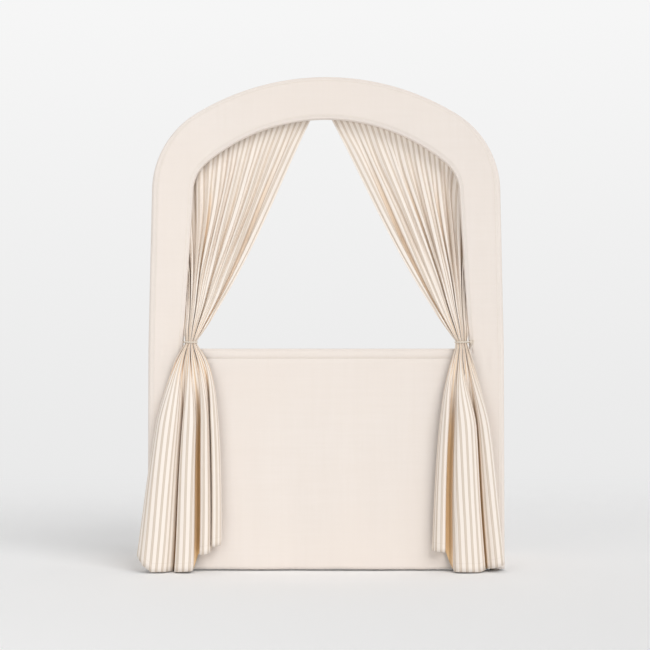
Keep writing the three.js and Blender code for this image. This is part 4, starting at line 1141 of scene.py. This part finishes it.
def foot_profile(outer, grip):
    """A ribbed rubber cup, from the middle of its sole out, up, over the lip and down its bore."""
    top, sole = 14 * MM, 3 * MM
    groove = outer - 0.5 * MM
    profile = [(0, 0), (outer - 1.8 * MM, 0), (outer - 0.2 * MM, 1.4 * MM)]
    for z in (3.6 * MM, 6.6 * MM, 9.6 * MM):
        profile += [(outer, z - 0.9 * MM), (groove, z - 0.5 * MM), (groove, z + 0.5 * MM),
                    (outer, z + 0.9 * MM)]
    return [*profile, (outer, top - 0.8 * MM), (outer - 0.8 * MM, top), (grip, top), (grip, sole), (0, sole)]


def tube_profile(radius, low, high):
    """A tube with its ends drawn open, from the middle of its foot out, up and back."""
    bore, foot, head = radius - TUBE_WALL, low + TUBE_WALL, high - TUBE_WALL
    return [(0, foot), (bore, foot), (bore, low), (radius, low), (radius, high), (bore, high), (bore, head),
            (0, head)]


def clip_outline(first, second, span, web, fillet):
    """The outline of two rings and the web between them, seen from above, counter-clockwise."""
    fillet_x = web + fillet
    first_y = math.sqrt((first + fillet) ** 2 - fillet_x**2)
    second_y = span - math.sqrt((second + fillet) ** 2 - fillet_x**2)
    first_end = math.atan2(first_y, fillet_x)
    second_start = math.atan2(second_y - span, fillet_x)
    right = np.concatenate([
        arc((0, 0), first, -math.pi / 2, first_end, 22),
        arc((fillet_x, first_y), fillet, first_end + math.pi, math.pi, 6)[1:],
        arc((fillet_x, second_y), fillet, math.pi, second_start + math.pi, 6),
        arc((0, span), second, second_start, math.pi / 2, 20)[1:]])
    return np.concatenate([right, right[-2:0:-1] * (-1, 1)])


def make_clip(side, hand, level, clip_z):
    """A figure-of-eight clip: one ring grips the post, the other lets the wing's tube turn."""
    span = HINGE_Y - FRONT_Y
    outline = clip_outline(SOCKET_RADIUS, HINGE_RING_RADIUS, span, web=4 * MM, fillet=3 * MM)
    tangent = np.roll(outline, -1, axis=0) - np.roll(outline, 1, axis=0)
    tangent /= np.linalg.norm(tangent, axis=1)[:, None]
    unit = arc((0, 0), 1, 0, 2 * math.pi, ROUND_POINTS)[:-1]
    walls = [(outline, np.column_stack([tangent[:, 1], -tangent[:, 0]])),
             (unit * (POST_RADIUS + SLIP_FIT), -unit),
             (unit * (WING_TUBE_RADIUS + RUNNING_FIT) + (0, span), -unit)]
    centre = np.array([side * POST_X, FRONT_Y])
    # Heights of the rings and how far the rounded edge takes them in, up from the foot
    rise, inset = (CLIP_EDGE * (1 - way) for way in arc((0, 0), 1, math.pi / 2, 0, 5).T[::-1])
    levels = [(rise - MOULDING_HALF, inset), ((MOULDING_HALF - rise)[::-1], inset[::-1])]
    levels = np.concatenate([np.column_stack(half) for half in levels])
    skin = Skin()
    for loop, normal in walls:
        rings = np.array([np.column_stack([loop - normal * inward + centre, np.full(len(loop), clip_z + z)])
                          for z, inward in levels])
        rings = np.concatenate([rings, rings[:, :1]], axis=1)
        skin.patch(rings, rings[..., 1:])
    for z, inward in levels[[0, -1]]:
        loops = [loop - normal * inward + centre for loop, normal in walls]
        flat = np.concatenate(loops)
        start = skin.loose(np.column_stack([flat, np.full(len(flat), clip_z + z)]), flat)
        for triangle in tessellate_polygon([[(x, y, 0) for x, y in loop] for loop in loops]):
            skin.faces.append([start + i for i in triangle])
    piece = skin.build(f"hinge_clip_moulding_{level}_{hand}", "front", "moulded_plastic",
                       [f"hinge_clip_{level}_{hand}"], weld=CLIP_WELD)
    piece.modifiers.new("edges", "WEIGHTED_NORMAL").keep_sharp = True


def make_hardware():
    for side, hand in SIDES:
        wing = "wing_" + hand
        legs = (("front_foot_", "post_", FRONT_Y, SOCKET_RADIUS, POST_RADIUS, "front"),
                ("wing_hinge_foot_", "wing_hinge_tube_", HINGE_Y, WING_FOOT_RADIUS, WING_TUBE_RADIUS, wing),
                ("wing_rear_foot_", "wing_rear_tube_", REAR_Y, WING_FOOT_RADIUS, WING_TUBE_RADIUS, wing))
        for foot, _, y, outer, radius, body in legs:
            turned(foot + hand, "cup", foot_profile(outer, radius + SLIP_FIT), (side * POST_X, y, 0), body,
                   "foot_rubber", rounding=0.35 * MM, samples=64)
        for _, tube, y, _, radius, body in legs:
            low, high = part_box(tube + hand)
            turned(tube + hand, "tube", tube_profile(radius, low[2], high[2]), (side * POST_X, y, 0), body,
                   "tube_steel", rounding=0.3 * MM, samples=240)
        for level, clip_z in zip(("lower", "upper"), CLIP_HEIGHTS):
            make_clip(side, hand, level, clip_z)


# The stage, the light and the camera

VIEW_DISTANCE = 4.5
VIEW_HEIGHT = 0.632
VIEW_X = -0.003
PIXEL = 2.571 * MM
FRAME_PIXELS = 650
SENSOR = 36.0
LOWER_GREY = (0.807, 0.807, 0.807)
UPPER_GREY = (0.922, 0.922, 0.922)


def make_camera():
    data = bpy.data.cameras.new("camera")
    data.sensor_width = SENSOR
    data.lens = SENSOR * VIEW_DISTANCE / (PIXEL * FRAME_PIXELS)
    camera = put("camera", data)
    camera.location = (VIEW_X, FRONT_Y - HALF_DEPTH - VIEW_DISTANCE, VIEW_HEIGHT)
    camera.rotation_euler = (math.pi / 2, 0, 0)
    bpy.context.scene.camera = camera


def make_stage():
    """A floor that bends up into a backdrop. Behind the object, the camera sees it as plain pale grey."""
    size, bend_y, bend = 9.0, 3.4, 1.6
    section = [(-size, 0.0), *arc((bend_y, bend), bend, -math.pi / 2, 0, 13), (bend_y + bend, size)]
    faces = [(2 * i - 2, 2 * i - 1, 2 * i + 1, 2 * i) for i in range(1, len(section))]
    mesh = bpy.data.meshes.new("floor")
    mesh.from_pydata([(x, y, z) for y, z in section for x in (-size, size)], [], faces)
    mesh.shade_smooth()
    m = Nodes("studio", (0.95, 0.95, 0.95), 0.95)
    _, y, z = m.parts(m.where())
    climb = m.add("ShaderNodeMapRange", {"Value": z, "From Max": 2.35}).outputs[0]
    up = m.math("ADD", m.times(climb, 0.83), m.times(m.ramp(y, 1.2, 3.8), 0.17))
    seen = m.blend(up, LOWER_GREY, UPPER_GREY)
    glow = m.add("ShaderNodeEmission", {"Color": seen}).outputs[0]
    ray = m.add("ShaderNodeLightPath", {}).outputs
    looked_at = m.math("MAXIMUM", ray["Is Camera Ray"], ray["Is Glossy Ray"])
    looked_at = m.math("MAXIMUM", looked_at, ray["Is Transmission Ray"])
    mixed = m.add("ShaderNodeMixShader", {0: m.times(looked_at, m.ramp(y, 1.1, 2.5)),
                                          1: m.shader.outputs[0], 2: glow})
    m.feed(m.tree.nodes["Material Output"], {"Surface": mixed.outputs[0]})
    mesh.materials.append(m.material)
    put("floor", mesh)


def make_lamp(name, kind, energy, towards, **settings):
    data = bpy.data.lights.new(name, kind)
    data.energy = energy
    for key, value in settings.items():
        setattr(data, key, value)
    lamp = put(name, data)
    lamp.rotation_euler = Vector(towards).to_track_quat("-Z", "Y").to_euler()
    return lamp


def make_light():
    world = bpy.data.worlds.new("studio")
    bpy.context.scene.world = world
    world.use_nodes = True
    background = world.node_tree.nodes["Background"]
    background.inputs["Color"].default_value = (1.0, 1.0, 1.0, 1)
    background.inputs["Strength"].default_value = 0.49
    seat, aim = Vector((-1.9, -3.0, 1.3)), Vector((0, FRONT_Y, 0.7))
    soft = make_lamp("front_left", "AREA", 16, aim - seat, shape="RECTANGLE", size=2.0, size_y=1.6)
    soft.location = seat
    make_lamp("high_right", "SUN", 1.28, (-0.45, 0.72, -0.58), angle=math.radians(38))


def main():
    make_camera()
    make_cover()
    cover_stitches()
    make_curtains()
    make_header_tapes()
    make_tie_backs()
    outline = wing_outline()
    for side, hand in SIDES:
        make_wing_canvas(side, hand, outline)
        make_wing_trim(side, hand, outline)
    make_hardware()
    slots = {part["node"]: part["material_slot"] for part in frame["record"]["subparts"]}
    for name, node in frame["nodes"].items():
        for place_in in node.material_slots:
            place_in.material = LOOKS[slots[name]]
    make_stage()
    make_light()


main()
bpy.context.scene.view_settings.view_transform = "Standard"
